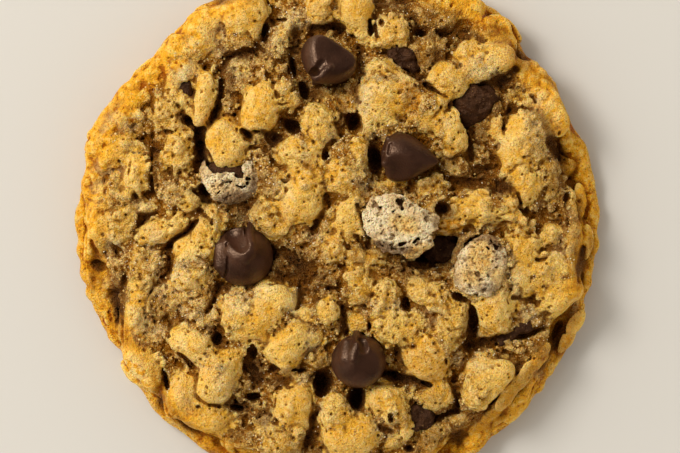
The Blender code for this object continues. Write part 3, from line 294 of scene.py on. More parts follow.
# Places glazed brown by sugar or melted chocolate, and painted shade where chips and the far edge shade the
# dough: (x, y, half length, half width, turn, amount)
STAINS_AND_SHADE = (
    (24.4, 21.0, 5.2, 3.4, 30, 1.0), (28.4, 25.0, 3.2, 1.4, 40, 1.0), (24.0, 9.2, 3.8, 2.8, 0, 0.6),
    (-7.4, -6.2, 4.2, 3.2, -25, 0.9), (-14.0, -24.4, 2.2, 3.4, 20, 0.8), (14.8, -32.6, 4.6, 1.8, 0, 0.9),
    (29.6, -18.0, 4.8, 1.0, 25, 0.5), (22.6, -16.8, 1.6, 4.2, 0, 0.9), (11.4, 28.8, 3.4, 2.0, -15, 1.0),
    (17.6, 33.0, 5.6, 2.0, 0, 0.6), (16.6, -4.4, 6.2, 3.6, 20, 1.0), (34.4, 2.6, 2.0, 2.0, 0, 0.3),
    (-6.0, 25.0, 2.6, 3.4, 20, 0.8), (10.6, -25.8, 4.6, 1.2, -12, 1.0), (-2.8, -26.2, 2.6, 2.2, 0, 1.0),
    (3.1, -29.4, 2.2, 2.8, 0, 1.0), (-23.6, 13.6, 1.6, 4.6, -8, 0.8), (-17.0, -30.4, 3.6, 1.6, -15, 0.9),
    (-20.8, -18.6, 1.6, 2.4, 30, 0.8), (-8.4, -36.6, 1.4, 2.2, 0, 0.4), (-5.0, -35.6, 1.6, 3.0, 0, 0.8),
    (-4.0, -10.6, 2.2, 1.4, 0, 0.6), (-20.8, -10.6, 2.2, 1.2, 20, 0.7), (-12.2, 15.4, 2.6, 1.4, 20, 0.7),
    (-8.0, 17.4, 2.2, 2.0, 0, 0.7), (3.4, 33.6, 1.2, 1.6, 0, 0.8), (-26.0, 18.2, 1.8, 1.2, 0, 0.7),
    (6.0, 12.0, 1.8, 3.6, 8, 0.9), (18.2, 2.8, 1.8, 1.4, 0, 0.9), (28.6, 7.0, 1.8, 1.4, 0, 0.7),
    (30.6, -12.2, 2.0, 1.0, 0, 0.6), (-22.8, 6.0, 1.8, 1.8, 0, 0.8), (-1.4, -38.4, 4.0, 1.2, 0, 0.8),
    (12.6, -38.4, 1.6, 1.4, 0, 0.9), (20.4, -35.0, 2.2, 1.6, 50, 0.8),
    (-7.4, -38.6, 1.8, 1.0, 0, 0.8), (-19.6, 38.8, 2.4, 1.0, 0, 0.9), (-21.2, -38.6, 2.0, 1.0, 20, 0.8),
    (-14.4, 38.6, 1.6, 1.0, 0, 0.8), (15.6, -0.2, 1.6, 1.2, 0, 0.8), (-24.4, 22.2, 1.4, 1.0, 0, 0.7),
    (-35.2, 13.2, 1.2, 1.6, 0, 0.7), (-6.2, -33.0, 1.2, 1.6, 0, 0.8), (-12.6, -0.8, 1.6, 1.2, 0, 0.7),
    (3.4, 21.0, 1.0, 1.8, 0, 0.7), (9.4, 33.4, 1.6, 1.0, 0, 0.7),
    (-18.6, 24.6, 1.6, 5.0, 0, 0.6), (-13.4, 29.8, 3.4, 2.0, -10, 0.5), (-3.8, 22.8, 2.6, 1.6, 30, 0.8),
    (0.8, 23.4, 3.0, 1.6, 0, 0.8), (-17.2, 3.8, 4.6, 1.8, 0, 0.8), (-28.6, 8.6, 2.6, 2.2, 0, 0.5),
    (-23.4, 4.6, 1.2, 2.6, 0, 0.7), (-10.6, 14.2, 2.2, 1.8, 0, 0.5), (16.4, 29.0, 2.4, 2.4, 0, 0.7),
    (12.2, 22.8, 1.6, 2.8, -30, 0.5), (23.8, 16.2, 2.2, 3.6, 0, 0.7), (30.6, 23.4, 1.8, 1.6, 0, 0.4),
    (15.8, 7.6, 2.6, 2.0, 0, 0.5), (18.2, 11.2, 2.6, 2.6, 0, 0.6), (37.0, 7.6, 2.2, 5.0, 0, 0.5),
    (40.6, -1.6, 1.8, 5.6, 0, 0.5), (-30.4, -14.6, 2.4, 3.4, 10, 0.3), (-12.8, -32.2, 3.6, 2.4, 0, 0.6),
    (-30.0, -31.0, 1.6, 2.4, 40, 0.5), (-2.2, -9.8, 2.6, 1.8, 0, 0.6), (-2.2, -24.4, 2.0, 4.0, 0, 0.8),
    (12.4, -7.4, 4.2, 1.8, -10, 0.9), (0.8, -13.0, 2.2, 1.8, 0, 0.4), (34.4, -21.2, 3.8, 2.4, 40, 0.6),
    (28.0, -22.0, 2.2, 1.0, 20, 0.5), (15.6, -30.2, 3.2, 1.6, -10, 0.5), (6.2, -3.6, 2.8, 1.2, -10, 0.6),
    (-11.2, 13.2, 1.8, 1.8, 0, 0.8), (9.4, 37.8, 4.4, 1.8, 0, 0.8), (22.2, 31.8, 2.4, 2.2, 0, 0.7),
    (26.8, 33.6, 2.6, 1.8, 0, 0.5), (-28.6, -17.6, 0.6, 1.6, 0, 0.7), (-10.6, -6.2, 2.6, 4.0, 0, 1.0),
    (-17.0, -35.8, 2.6, 2.2, 0, 0.6), (-34.6, 4.6, 1.4, 1.8, 0, 0.6), (19.0, 1.4, 2.0, 1.6, 0, 0.6),
    (26.4, 6.0, 4.0, 1.2, 10, 0.7), (15.0, -36.6, 3.6, 2.4, 40, 0.6), (11.2, -33.4, 1.8, 2.4, 0, 0.6),
    (27.6, -22.6, 2.4, 1.2, 10, 0.7), (-3.0, -13.0, 1.8, 1.6, 0, 0.5), (-3.0, -8.4, 1.8, 1.6, 0, 0.6),
    (-12.8, 33.0, 1.0, 3.4, -15, 0.6), (-7.0, 30.0, 1.6, 5.6, 10, 0.8), (37.0, 1.8, 2.0, 1.6, 0, 0.3),
    (-41.4, -5.8, 1.2, 4.2, 0, 0.7), (-37.5, -13.6, 1.3, 6.6, 8, 1.0), (41.4, -7.0, 1.2, 3.6, -10, 0.7),
    (-29.2, -30.6, 1.2, 4.0, 35, 0.8), (-26.0, -33.8, 3.4, 1.0, -38, 0.7), (34.0, 16.0, 1.6, 3.2, 10, 0.3),
    (30.4, -27.0, 1.8, 7.0, -40, 0.8), (5.8, -4.0, 3.2, 0.9, -8, 0.8), (-12.2, 31.8, 0.9, 3.0, -20, 0.6),
    (-38.0, 20.4, 1.0, 3.4, -40, 0.4), (-36.4, -18.8, 1.2, 2.6, 40, 0.6), (38.2, -18.8, 1.3, 5.6, -36, 0.8),
    (31.6, 28.4, 1.8, 5.6, 50, 0.6), (11.0, 6.2, 3.2, 1.0, 0, 0.6), (-2.4, 34.4, 3.6, 0.9, 0, 0.8),
    (4.0, 28.2, 0.9, 2.6, 0, 0.8), (-11.0, 14.2, 1.2, 1.8, 0, 0.8), (-1.4, -13.2, 2.0, 1.2, 0, 0.6),
    (15.4, 27.4, 2.0, 1.0, 0, 0.6), (0.6, 19.4, 1.2, 3.2, 0, 0.9),
    (24.0, -33.6, 1.6, 4.6, -50, 0.6), (11.2, -22.4, 1.4, 2.6, 0, 0.9), (-33.6, -10.4, 1.0, 1.6, 0, 0.6),
    (-41.8, -9.0, 0.9, 2.6, 0, 0.7), (38.6, -20.6, 0.9, 3.0, -36, 0.8), (27.0, -33.2, 1.2, 4.0, -50, 0.6),
    (15.8, 36.0, 1.8, 3.0, 0, 0.5), (28.6, 32.4, 1.4, 1.8, 0, 0.5), (9.6, 35.8, 2.4, 1.0, 0, 0.4),
    (36.0, 25.0, 0.8, 2.4, 40, 0.5), (33.0, 13.0, 1.0, 1.4, 0, 0.5), (40.8, 11.0, 0.9, 2.0, 0, 0.6),
    (41.4, 4.0, 0.9, 2.2, 0, 0.6), (30.8, 3.2, 1.0, 1.4, 0, 0.5), (10.2, 27.0, 1.2, 0.8, 0, 0.5),
    (-16.0, 29.0, 2.4, 1.0, 0, 0.8), (-12.8, 7.4, 1.0, 2.2, 0, 0.6), (-6.6, 28.0, 0.6, 2.4, 0, 0.8),
    (-5.6, 21.6, 1.2, 1.0, 0, 0.6), (-2.6, 7.0, 0.9, 1.6, 0, 0.6), (3.6, 35.0, 1.6, 0.9, 0, 0.6),
    (25.6, 31.6, 3.4, 0.9, -10, 0.7), (18.8, 21.0, 1.4, 1.8, -20, 0.8), (34.0, 24.8, 2.0, 0.9, -50, 0.5),
    (-31.2, -24.6, 0.9, 2.2, 0, 0.7), (-23.4, -31.2, 1.8, 0.9, -20, 0.7), (-18.4, -34.4, 2.0, 1.4, 0, 0.6),
    (-2.4, -12.6, 2.2, 1.2, 0, 0.8), (30.4, -24.4, 1.0, 3.0, -35, 0.9), (16.4, -29.2, 2.6, 1.2, 0, 0.6),
    (20.6, -36.0, 2.4, 1.6, -30, 0.6), (35.6, -14.6, 0.9, 3.4, -10, 0.6), (38.4, 0.0, 1.4, 1.4, 0, 0.4),
    (43.4, -3.0, 0.8, 3.0, 0, 0.6), (-27.6, 26.6, 0.9, 0.9, 0, 0.7),
    (30.0, 24.0, 1.2, 1.4, 0, 0.6), (20.4, 21.6, 1.6, 1.2, 0, 0.9), (-10.4, -26.4, 2.2, 1.2, 0, 0.8),
    (-6.2, -33.4, 0.8, 2.6, 15, 0.8), (-19.2, -33.6, 2.2, 1.2, 0, 0.5), (-3.4, -8.6, 1.8, 1.0, 0, 0.8),
    (-18.6, -10.2, 2.4, 0.8, 0, 0.8), (3.4, -31.4, 1.4, 0.9, 0, 0.8), (8.2, -27.2, 2.2, 0.8, 0, 0.6),
    (-21.4, -12.0, 0.8, 2.4, -30, 0.7), (17.6, -28.4, 1.2, 1.0, 0, 0.5), (3.2, -5.4, 1.2, 1.0, 0, 0.7),
)

# Places painted pale, partly a thin dried skin and partly painted light: (x, y, half length, half width,
# turn, amount)
PALE_SKIN_AND_LIGHT = (
    (-26.4, 26.4, 2.2, 2.6, 0, 1.0), (-17.2, 27.2, 2.4, 2.8, 0, 0.6), (-8.0, 35.0, 3.6, 2.0, 10, 0.8),
    (-10.6, 31.6, 2.2, 3.0, -20, 0.6), (4.6, 21.8, 1.6, 4.6, 0, 0.9), (11.6, 25.4, 3.2, 1.2, -20, 0.4),
    (24.8, 26.8, 3.6, 2.4, -20, 0.8), (27.8, 29.6, 2.4, 2.4, 0, 0.5), (33.6, 16.6, 2.6, 4.6, 0, 0.5),
    (22.4, -5.8, 3.6, 4.4, 0, 0.7), (-17.0, -11.6, 3.6, 1.6, 0, 0.6), (-27.4, -8.6, 2.2, 1.6, 0, 0.8),
    (-24.4, -14.4, 4.2, 2.4, 0, 0.7), (-12.8, -11.2, 2.2, 1.6, 0, 0.8), (-28.6, 5.6, 2.4, 2.0, 0, 0.4),
    (-33.0, 3.2, 2.2, 1.8, 0, 0.6), (6.4, 24.6, 2.2, 1.4, 0, 0.7), (38.2, -3.4, 1.8, 2.8, 0, 0.5),
    (16.0, -15.4, 1.2, 1.8, 0, 0.6), (32.6, -14.8, 1.6, 1.4, 0, 0.8), (-8.4, 4.2, 1.2, 3.6, 0, 0.5),
    (-30.5, -8.6, 2.4, 5.0, 0, 0.6), (-22.6, -16.6, 2.2, 2.4, 0, 0.6), (-34.8, -24.2, 3.8, 2.0, -50, 1.0),
    (-38.6, 17.6, 3.6, 1.8, 60, 0.6), (-23.8, 32.2, 3.4, 1.8, 50, 0.8), (-41.0, 7.6, 3.6, 1.4, 88, 0.6),
    (36.6, 20.2, 3.8, 1.2, -60, 0.7), (29.0, -6.6, 1.2, 3.6, 0, 0.5), (-18.6, -26.6, 1.6, 2.4, 0, 0.4),
    (-26.8, -29.6, 1.6, 2.4, 20, 0.4), (3.6, 8.6, 1.6, 2.4, 0, 0.4), (25.6, -12.0, 3.2, 1.6, 0, 0.5),
    (-20.6, 33.4, 1.4, 2.4, 0, 0.7), (-20.0, 30.0, 1.6, 1.2, 0, 0.5), (-9.6, 7.4, 1.6, 2.6, 0, 0.6),
    (-35.6, 18.0, 2.2, 1.6, 20, 0.9), (-37.6, -3.8, 1.4, 2.2, 0, 0.8), (-38.8, -11.2, 1.2, 2.0, 0, 0.8),
    (6.4, 15.2, 1.4, 1.6, 0, 0.8), (40.2, -13.6, 1.2, 2.0, -20, 0.7), (5.0, 6.8, 1.6, 1.4, 0, 0.7),
    (36.4, 14.0, 1.4, 2.2, 0, 0.7), (-16.0, 1.4, 1.6, 1.6, 0, 0.7), (-26.6, -6.8, 1.4, 1.6, 0, 0.7),
    (5.4, -13.6, 1.8, 1.4, 0, 0.8), (-1.2, 15.2, 1.4, 1.6, 0, 0.8), (6.2, 34.0, 1.4, 1.4, 0, 0.7),
    (25.8, 0.4, 1.2, 1.8, 0, 0.7), (7.8, -34.6, 1.6, 1.8, 0, 0.7), (7.0, 38.8, 1.8, 1.0, 0, 0.8),
    (-5.4, 12.6, 1.0, 3.0, 0, 0.5), (36.2, 14.6, 1.4, 2.2, 0, 0.6), (-31.4, -2.4, 1.6, 2.6, 0, 0.7),
    (-29.6, -6.6, 1.6, 2.0, 0, 0.6), (-25.4, -23.0, 1.4, 1.0, 0, 0.6), (-6.4, -11.4, 1.0, 1.6, 0, 0.7),
    (-4.6, -20.0, 1.4, 3.0, 0, 0.6), (20.4, -22.8, 1.2, 1.8, 0, 0.6), (-38.4, 9.6, 2.0, 1.2, 0, 0.6),
    (-33.4, -17.0, 2.0, 3.0, 0, 0.6), (-24.6, -7.6, 2.6, 3.2, 0, 0.7), (-27.0, -11.0, 2.4, 1.6, 0, 0.6),
    (-17.2, -13.2, 2.2, 2.2, 0, 0.7), (-7.8, -13.4, 1.2, 3.0, 0, 0.7), (-4.2, -1.6, 1.8, 1.4, 0, 0.7),
    (-19.6, -27.4, 1.8, 3.2, 0, 0.7), (-22.6, -23.4, 2.2, 2.0, 0, 0.5), (-26.6, -29.0, 1.8, 3.0, 20, 0.4),
    (-12.4, -33.0, 1.6, 1.6, 0, 0.7), (-3.2, -31.6, 1.2, 1.4, 0, 0.6), (24.4, -11.8, 2.2, 1.4, 0, 0.4),
    (30.6, -9.6, 1.2, 3.0, 0, 0.7), (34.6, -24.6, 1.0, 2.6, -40, 0.5), (16.4, -14.6, 2.2, 1.2, 0, 0.6),
    (9.8, -13.4, 1.8, 1.2, 0, 0.6), (24.2, -23.4, 1.8, 1.8, 0, 0.6), (21.6, -31.6, 1.6, 1.0, 0, 0.6),
    (7.4, -34.6, 1.8, 1.8, 0, 0.6), (27.0, 24.7, 1.4, 0.8, 0, 0.7), (11.8, -5.0, 1.4, 0.8, -40, 0.8),
    (34.4, 22.2, 1.8, 1.6, 0, 0.8), (-38.6, -3.4, 1.2, 2.4, 0, 0.7), (-39.2, -11.4, 1.0, 2.6, 10, 0.8),
    (-6.4, -25.8, 1.5, 1.2, 0, 0.8), (-30.8, -18.0, 1.6, 1.2, 0, 0.8), (35.0, 3.0, 1.4, 1.4, 0, 0.5),
    (18.6, 17.6, 0.9, 1.8, 0, 0.5), (28.6, 14.4, 1.8, 1.6, 0, 0.5), (-26.6, -20.0, 1.6, 1.4, 0, 0.4),
)

# Whole chips, as they sit in the frame: x, y and height of the middle of the base, way the tip
# points, how far the chip lies over, radius of its base, length, sideways bend of its tip
WHOLE_CHIPS = {
    "chip_upper": (-1.0, 29.7, 9.8, -121, 50, 5.0, 7.4, 0.5),
    "chip_right": (8.6, 12.1, 10.6, -6, 76, 4.3, 9.2, 0.0),
    "chip_left": (-16.2, -5.1, 9.2, 60, 4, 5.2, 6.6, 1.2),
    "chip_lower": (3.5, -23.2, 9.2, 88, 14, 4.75, 7.0, 0.8),
}

# A chip's turned side: (share of its length, share of its radius)
CHIP_SIDE = (
    (0.0, 0.80), (0.06, 0.94), (0.14, 1.0), (0.30, 0.97), (0.47, 0.83), (0.64, 0.60), (0.80, 0.34),
    (0.93, 0.15), (1.0, 0.04),
)

# Folds that the setting chocolate left, seen from above: (points, radius, depth) for each.
# A depth above zero is a groove and below zero a ridge.
CHIP_FOLDS = {
    "chip_left": (
        (((-18.0, -0.6), (-17.2, -1.8), (-16.4, -2.8)), 1.8, 0.7),
        (((-15.6, 0.4), (-15.7, -1.5), (-15.5, -3.3)), 0.35, 0.5),
        (((-14.9, 0.6), (-15.0, -1.2), (-14.7, -2.8)), 0.5, -0.35),
        (((-18.9, -2.8), (-18.7, -5.0), (-18.8, -7.2), (-19.3, -9.0)), 0.26, 0.4),
        (((-18.3, -4.2), (-17.2, -5.2), (-15.8, -5.2), (-14.9, -4.2)), 0.8, -0.2),
        (((-20.2, -3.4), (-20.2, -6.6)), 0.9, -0.25),
    ),
    "chip_upper": (
        (((-4.0, 24.6), (-2.7, 25.6), (-1.2, 27.2)), 0.42, -0.42),
        (((-4.8, 25.6), (-3.7, 26.6), (-2.6, 27.9)), 0.75, 0.40),
    ),
    "chip_right": (
        (((8.6, 12.6), (8.9, 14.0)), 0.35, 0.5),
        (((7.9, 10.8), (7.9, 12.8), (8.6, 15.0)), 0.5, -0.25),
    ),
    "chip_lower": (
        (((3.3, -17.9), (3.2, -20.0), (2.6, -22.6)), 0.6, -0.35),
        (((4.2, -19.2), (4.5, -20.8)), 0.9, 0.55),
        (((1.6, -19.8), (1.2, -22.4)), 0.9, -0.15),
    ),
}

# The side that lay flat on the tray or against another chip: x, y and height of a point on the
# flat, way it faces, how far it leans over
CHIP_FLATS = {
    "chip_upper": (-4.0, 30.4, 14.1, 45, 24),
    "chip_lower": (3.6, -21.6, 14.6, -10, 26),
    "chip_right": (11.6, 11.2, 14.6, -96, 34),
    "chip_left": (-14.6, -5.0, 14.4, -20, 32),
}

# Chocolate lumps that the dough partly covers: half length, half width, half height, turn
LUMP_CHIPS = {
    "chip_coated_left": (4.7, 3.7, 3.2, -6),
    "chip_coated_middle": (6.1, 4.5, 3.4, -12),
    "chip_coated_right": (4.4, 5.2, 3.4, -8),
    "chip_in_hollow": (3.0, 2.3, 2.0, 25),
    "chip_melted": (4.4, 2.7, 2.2, 50),
    "chip_smear": (3.6, 0.9, 1.7, 25),
    "chip_nib_upper": (2.5, 1.6, 1.8, -15),
    "chip_nib_left": (1.0, 1.3, 1.6, 0),
    "chip_nib_lower": (2.2, 1.6, 1.6, 20),
}
LUMP_SQUARE = 2.3
CHIP_ROOM = 0.9          # room that a chip's grid leaves round its node
FILM_SPACE = 0.55        # how much smaller than its row a lump is under its film
MELTED_SPREAD = 0.2      # how much wider than its row melted chocolate is
MELTED_DROP = 1.1        # and how far it sank


# ---- distance fields ---------------------------------------------------------------------------
class Field:
    """Signed distances in millimetres on an even grid: below zero is inside."""

    def __init__(self, low, high, step):
        self.step = step
        self.axes = [np.arange(a, b + step, step, dtype=np.float32) for a, b in zip(low, high)]
        self.shape = tuple(len(axis) for axis in self.axes)
        self.values = None

    def block(self, low, high):
        """The part of the grid inside a box: its slices, and x, y, z that broadcast over it."""
        cut = []
        for axis, a, b in zip(self.axes, low, high):
            first = min(max(0, int((a - axis[0]) / self.step)), len(axis) - 1)
            last = min(len(axis), int((b - axis[0]) / self.step) + 2)
            cut.append(slice(first, max(first + 1, last)))
        x = self.axes[0][cut[0]][:, None, None]
        y = self.axes[1][cut[1]][None, :, None]
        z = self.axes[2][cut[2]][None, None, :]
        return tuple(cut), x, y, z

    def block_round(self, place, reach):
        """The part of the grid within reach of a place."""
        return self.block([p - reach for p in place], [p + reach for p in place])

    def whole(self):
        """The whole grid as one block."""
        return self.block([axis[0] for axis in self.axes], [axis[-1] for axis in self.axes])

    def cell(self, x, y):
        """The grid's column nearest to a place in the plan."""
        steps = [int(round((v - axis[0]) / self.step)) for v, axis in zip((x, y), self.axes)]
        return [min(max(step, 0), size - 1) for step, size in zip(steps, self.shape)]

    def top(self):
        """Height of the topmost surface over the plan, 0 where there is none."""
        inside = self.values < 0.0
        last = self.shape[2] - 1 - np.argmax(inside[:, :, ::-1], axis=2)
        height = self.axes[2][last]
        height[~inside.any(axis=2)] = 0.0
        return height

    def noise(self, size, seed):
        """Smooth noise, about -1 to 1, whose bumps are `size` mm wide."""
        counts = [int((axis[-1] - axis[0]) / size) + 5 for axis in self.axes]
        knots = np.random.default_rng(seed).uniform(-2.0, 2.0, counts).astype(np.float32)
        for k, axis in enumerate(self.axes):
            place = (axis - axis[0]) / size + 1.0
            cell = np.floor(place).astype(int)
            t = place - cell
            weights = np.zeros((len(axis), counts[k]), np.float32)
            rows = np.arange(len(axis))
            weights[rows, cell - 1] = (1 - t) ** 3 / 6
            weights[rows, cell] = (3 * t ** 3 - 6 * t ** 2 + 4) / 6
            weights[rows, cell + 1] = (-3 * t ** 3 + 3 * t ** 2 + 3 * t + 1) / 6
            weights[rows, cell + 2] = t ** 3 / 6
            knots = np.moveaxis(np.tensordot(weights, knots, (1, k)), 0, k)
        return np.ascontiguousarray(knots)

    def join(self, cut, distance, soft):
        """Add a shape, run softly into what is there."""
        now, distance = self.values[cut], distance.astype(np.float32)
        share = np.clip(0.5 + 0.5 * (now - distance) / soft, 0.0, 1.0)
        self.values[cut] = now + (distance - now) * share - soft * share * (1.0 - share)

    def carve(self, cut, distance, soft):
        """Take a shape away, with a soft lip."""
        now, distance = self.values[cut], distance.astype(np.float32)
        share = np.clip(0.5 - 0.5 * (now + distance) / soft, 0.0, 1.0)
        self.values[cut] = now + (-distance - now) * share + soft * share * (1.0 - share)

    def read(self, values, points):
        """Values at points, eased between the grid's own."""
        total = np.zeros(len(points), np.float32)
        cells, shares = [], []
        for k, axis in enumerate(self.axes):
            place = np.clip((points[:, k] - axis[0]) / self.step, 0, len(axis) - 1.001)
            cell = place.astype(int)
            cells.append(cell)
            shares.append(place - cell)
        for corner in range(8):
            step = [(corner >> k) & 1 for k in range(3)]
            weight = 1.0
            for k in range(3):
                weight = weight * (shares[k] if step[k] else 1.0 - shares[k])
            total += weight * values[cells[0] + step[0], cells[1] + step[1], cells[2] + step[2]]
        return total

    def skin(self):
        """Points and four-sided faces of the surface where the distance is zero."""
        inside = self.values < 0.0
        count = np.zeros([n - 1 for n in self.shape], np.int8)
        corners = [(i, j, k) for i in (0, 1) for j in (0, 1) for k in (0, 1)]
        nx, ny, nz = count.shape
        for i, j, k in corners:
            count += inside[i:i + nx, j:j + ny, k:k + nz]
        crossed = (count > 0) & (count < 8)
        cells = np.argwhere(crossed)
        index = np.full(crossed.shape, -1, np.int32)
        index[crossed] = np.arange(len(cells))
        x, y, z = cells.T
        levels = [self.values[x + i, y + j, z + k] for i, j, k in corners]
        total = np.zeros((len(cells), 3), np.float32)
        hits = np.zeros(len(cells), np.float32)
        for a, first in enumerate(corners):
            for b in range(a + 1, 8):
                if sum(abs(p - q) for p, q in zip(first, corners[b])) != 1:
                    continue
                cross = (levels[a] < 0) != (levels[b] < 0)
                share = levels[a][cross] / (levels[a][cross] - levels[b][cross])
                along = np.array(corners[b], np.float32) - np.array(first, np.float32)
                total[cross] += np.array(first, np.float32) + share[:, None] * along
                hits[cross] += 1
        low = np.array([axis[0] for axis in self.axes], np.float32)
        points = low + (cells + total / hits[:, None]) * self.step
        faces = []
        for k in range(3):
            side, up = (k + 1) % 3, (k + 2) % 3
            ahead = np.roll(inside, -1, k)
            edge = inside != ahead
            for axis in range(3):
                trim = [slice(None)] * 3
                trim[axis] = slice(-1, None)
                edge[tuple(trim)] = False
                if axis != k:
                    trim[axis] = slice(0, 1)
                    edge[tuple(trim)] = False
            spots = np.argwhere(edge)
            ring = []
            for back_side, back_up in ((0, 0), (1, 0), (1, 1), (0, 1)):
                near = spots.copy()
                near[:, side] -= back_side
                near[:, up] -= back_up
                ring.append(index[near[:, 0], near[:, 1], near[:, 2]])
            ring = np.stack(ring, 1)
            outward = inside[spots[:, 0], spots[:, 1], spots[:, 2]]
            ring[~outward] = ring[~outward][:, ::-1]
            faces.append(ring)
        return points, np.concatenate(faces)


def turned(along, across, degrees):
    """The same way measured along axes turned by so many degrees."""
    turn = math.radians(degrees)
    return along * math.cos(turn) + across * math.sin(turn), across * math.cos(turn) - along * math.sin(turn)


def lump_distance(x, y, z, place, half, turn, lean=0.0, square=2.0):
    """Distance to an oval lump, turned about Z and leaned over its long side."""
    dz = z - place[2]
    along, across = turned(x - place[0], y - place[1], turn)
    if lean:
        across, dz = turned(across, dz, lean)
    shares = [np.abs(along) / half[0], np.abs(across) / half[1], np.abs(dz) / half[2]]
    if square == 2.0:
        size = np.sqrt(shares[0] ** 2 + shares[1] ** 2 + shares[2] ** 2) + 1e-4
        slope = np.sqrt(sum((s / h) ** 2 for s, h in zip(shares, half))) / size + 1e-4
    else:
        powers = [s ** (square - 1.0) for s in shares]
        size = sum(s * p for s, p in zip(shares, powers)) ** (1.0 / square) + 1e-4
        slope = np.sqrt(sum((p / h) ** 2 for p, h in zip(powers, half))) / size ** (square - 1.0) + 1e-4
    return (size - 1.0) / slope


def bar_distance(x, y, z, start, end, radius):
    """Distance to a round-ended bar between two points."""
    start, end = np.array(start, float), np.array(end, float)
    way = end - start
    x, y, z = x - start[0], y - start[1], z - start[2]
    share = (x * way[0] + y * way[1] + z * way[2]) / max(way @ way, 1e-9)
    share = np.clip(share, 0.0, 1.0)
    gap = (x - share * way[0]) ** 2 + (y - share * way[1]) ** 2
    return np.sqrt(gap + (z - share * way[2]) ** 2) - radius


def line_gap(x, y, x0, y0, x1, y1):
    """From the nearest place on a line in the plan, how far along X and along Y."""
    way_x, way_y = x1 - x0, y1 - y0
    share = np.clip(((x - x0) * way_x + (y - y0) * way_y) / (way_x ** 2 + way_y ** 2), 0.0, 1.0)
    return x - x0 - share * way_x, y - y0 - share * way_y


def spot_share(x, y, spot):
    """1 in the middle of a turned oval spot, falling to 0 at its rim."""
    along, across = turned(x - spot[0], y - spot[1], spot[4])
    reach = np.sqrt((along / spot[2]) ** 2 + (across / spot[3]) ** 2)
    return np.clip(1.35 - reach, 0.0, 1.0)


def spots_amount(x, y, spots):
    """The most that any of the spots gives each place."""
    amount = np.zeros(len(x), np.float32)
    for spot in spots:
        amount = np.maximum(amount, spot[5] * spot_share(x, y, spot))
    return amount


def blur(values, reach, step):
    """Average over about `reach` mm each way, three times over, which is close to a bell curve."""
    width = max(1, int(round(reach / step)))
    for _ in range(3):
        for k in range(values.ndim):
            pad = [(0, 0)] * values.ndim
            pad[k] = (width + 1, width)
            total = np.cumsum(np.pad(values, pad, mode="edge"), axis=k, dtype=np.float32)
            size = values.shape[k]
            upper = np.take(total, np.arange(2 * width + 1, 2 * width + 1 + size), axis=k)
            lower = np.take(total, np.arange(0, size), axis=k)
            values = (upper - lower) / (2 * width + 1)
    return values


# ---- pieces ---------------------------------------------------------------------------------------
def make_piece(name, points, faces, material, limit=None, border=None):
    """A smooth mesh object from points in millimetres, thinned to at most `limit` triangles.
    The points marked in `border` stay as they are, so that pieces still meet along it."""
    mesh = bpy.data.meshes.new(name)
    mesh.from_pydata((points * MM).tolist(), [], faces.tolist())
    mesh.update()
    piece = bpy.data.objects.new(name, mesh)
    bpy.context.collection.objects.link(piece)
    triangles = 2 * len(faces) if faces.shape[1] == 4 else len(faces)
    if limit and triangles > limit:
        thin = piece.modifiers.new("thin", "DECIMATE")
        thin.ratio = limit / triangles
        if border is not None:
            group = piece.vertex_groups.new(name="may_move")
            group.add(np.flatnonzero(~border).tolist(), 1.0, "REPLACE")
            thin.vertex_group = group.name
        graph = bpy.context.evaluated_depsgraph_get()
        slim = bpy.data.meshes.new_from_object(piece.evaluated_get(graph))
        piece.modifiers.clear()
        piece.vertex_groups.clear()
        piece.data = slim
        slim.name = name
        bpy.data.meshes.remove(mesh)
    piece.data.shade_smooth()
    piece.data.materials.clear()
    piece.data.materials.append(material)
    return piece


def read_numbers(items, field, count):
    """One field of many of a mesh's items, as one flat array."""
    flat = np.empty(count, np.float32)
    items.foreach_get(field, flat)
    return flat


def piece_points(piece):
    """The piece's points in millimetres."""
    vertices = piece.data.vertices
    return read_numbers(vertices, "co", 3 * len(vertices)).reshape(-1, 3) / MM


def paint(piece, name, values):
    """Store one number for each point, which the material reads by name."""
    layer = piece.data.attributes.new(name, "FLOAT", "POINT")
    layer.data.foreach_set("value", np.asarray(values, np.float32))


def settle(piece, nodes):
    """The piece rides with the cookie and stands for its nodes."""
    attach(piece, "root")
    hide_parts(*nodes)


def node_tree_of(name):
    """The frame node's shape, to measure with rays, in millimetres."""
    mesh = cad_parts[name].data
    points = [vert.co / MM for vert in mesh.vertices]
    return BVHTree.FromPolygons(points, [tuple(face.vertices) for face in mesh.polygons])


# ---- dough -----------------------------------------------------------------------------------------
def height_map(trees, xs, ys, missing):
    """Height of the topmost surface over each point of a grid in plan."""
    heights = np.full((len(xs), len(ys)), missing, np.float32)
    down = Vector((0.0, 0.0, -1.0))
    for i, x in enumerate(xs):
        for j, y in enumerate(ys):
            for tree in trees:
                hit = tree.ray_cast(Vector((float(x), float(y), RAY_TOP)), down)[0]
                if hit is not None:
                    heights[i, j] = max(heights[i, j], hit.z)
    return heights


def side_map(tree, turns, levels):
    """Radius of the outermost surface at each turn and height."""
    radii = np.zeros((len(turns), len(levels)), np.float32)
    for i, turn in enumerate(turns):
        out = Vector((math.cos(turn), math.sin(turn), 0.0))
        for j, level in enumerate(levels):
            hit = tree.ray_cast(out * RAY_START + Vector((0.0, 0.0, float(level))), -out)[0]
            radii[i, j] = 0.0 if hit is None else math.hypot(hit.x, hit.y)
    return radii


def spread(values, axes, new_axes):
    """A table in plan, eased onto a finer grid."""
    for k in range(2):
        place = np.clip((new_axes[k] - axes[k][0]) / (axes[k][1] - axes[k][0]), 0, len(axes[k]) - 1.001)
        cell = place.astype(int)
        share = (place - cell).reshape((-1, 1) if k == 0 else (1, -1))
        values = np.take(values, cell, k) * (1 - share) + np.take(values, cell + 1, k) * share
    return values


def side_place(turn):
    """Where a way out from the middle falls among the columns of the frame's side."""
    return (turn + math.pi) / math.tau * SIDE_COLUMNS


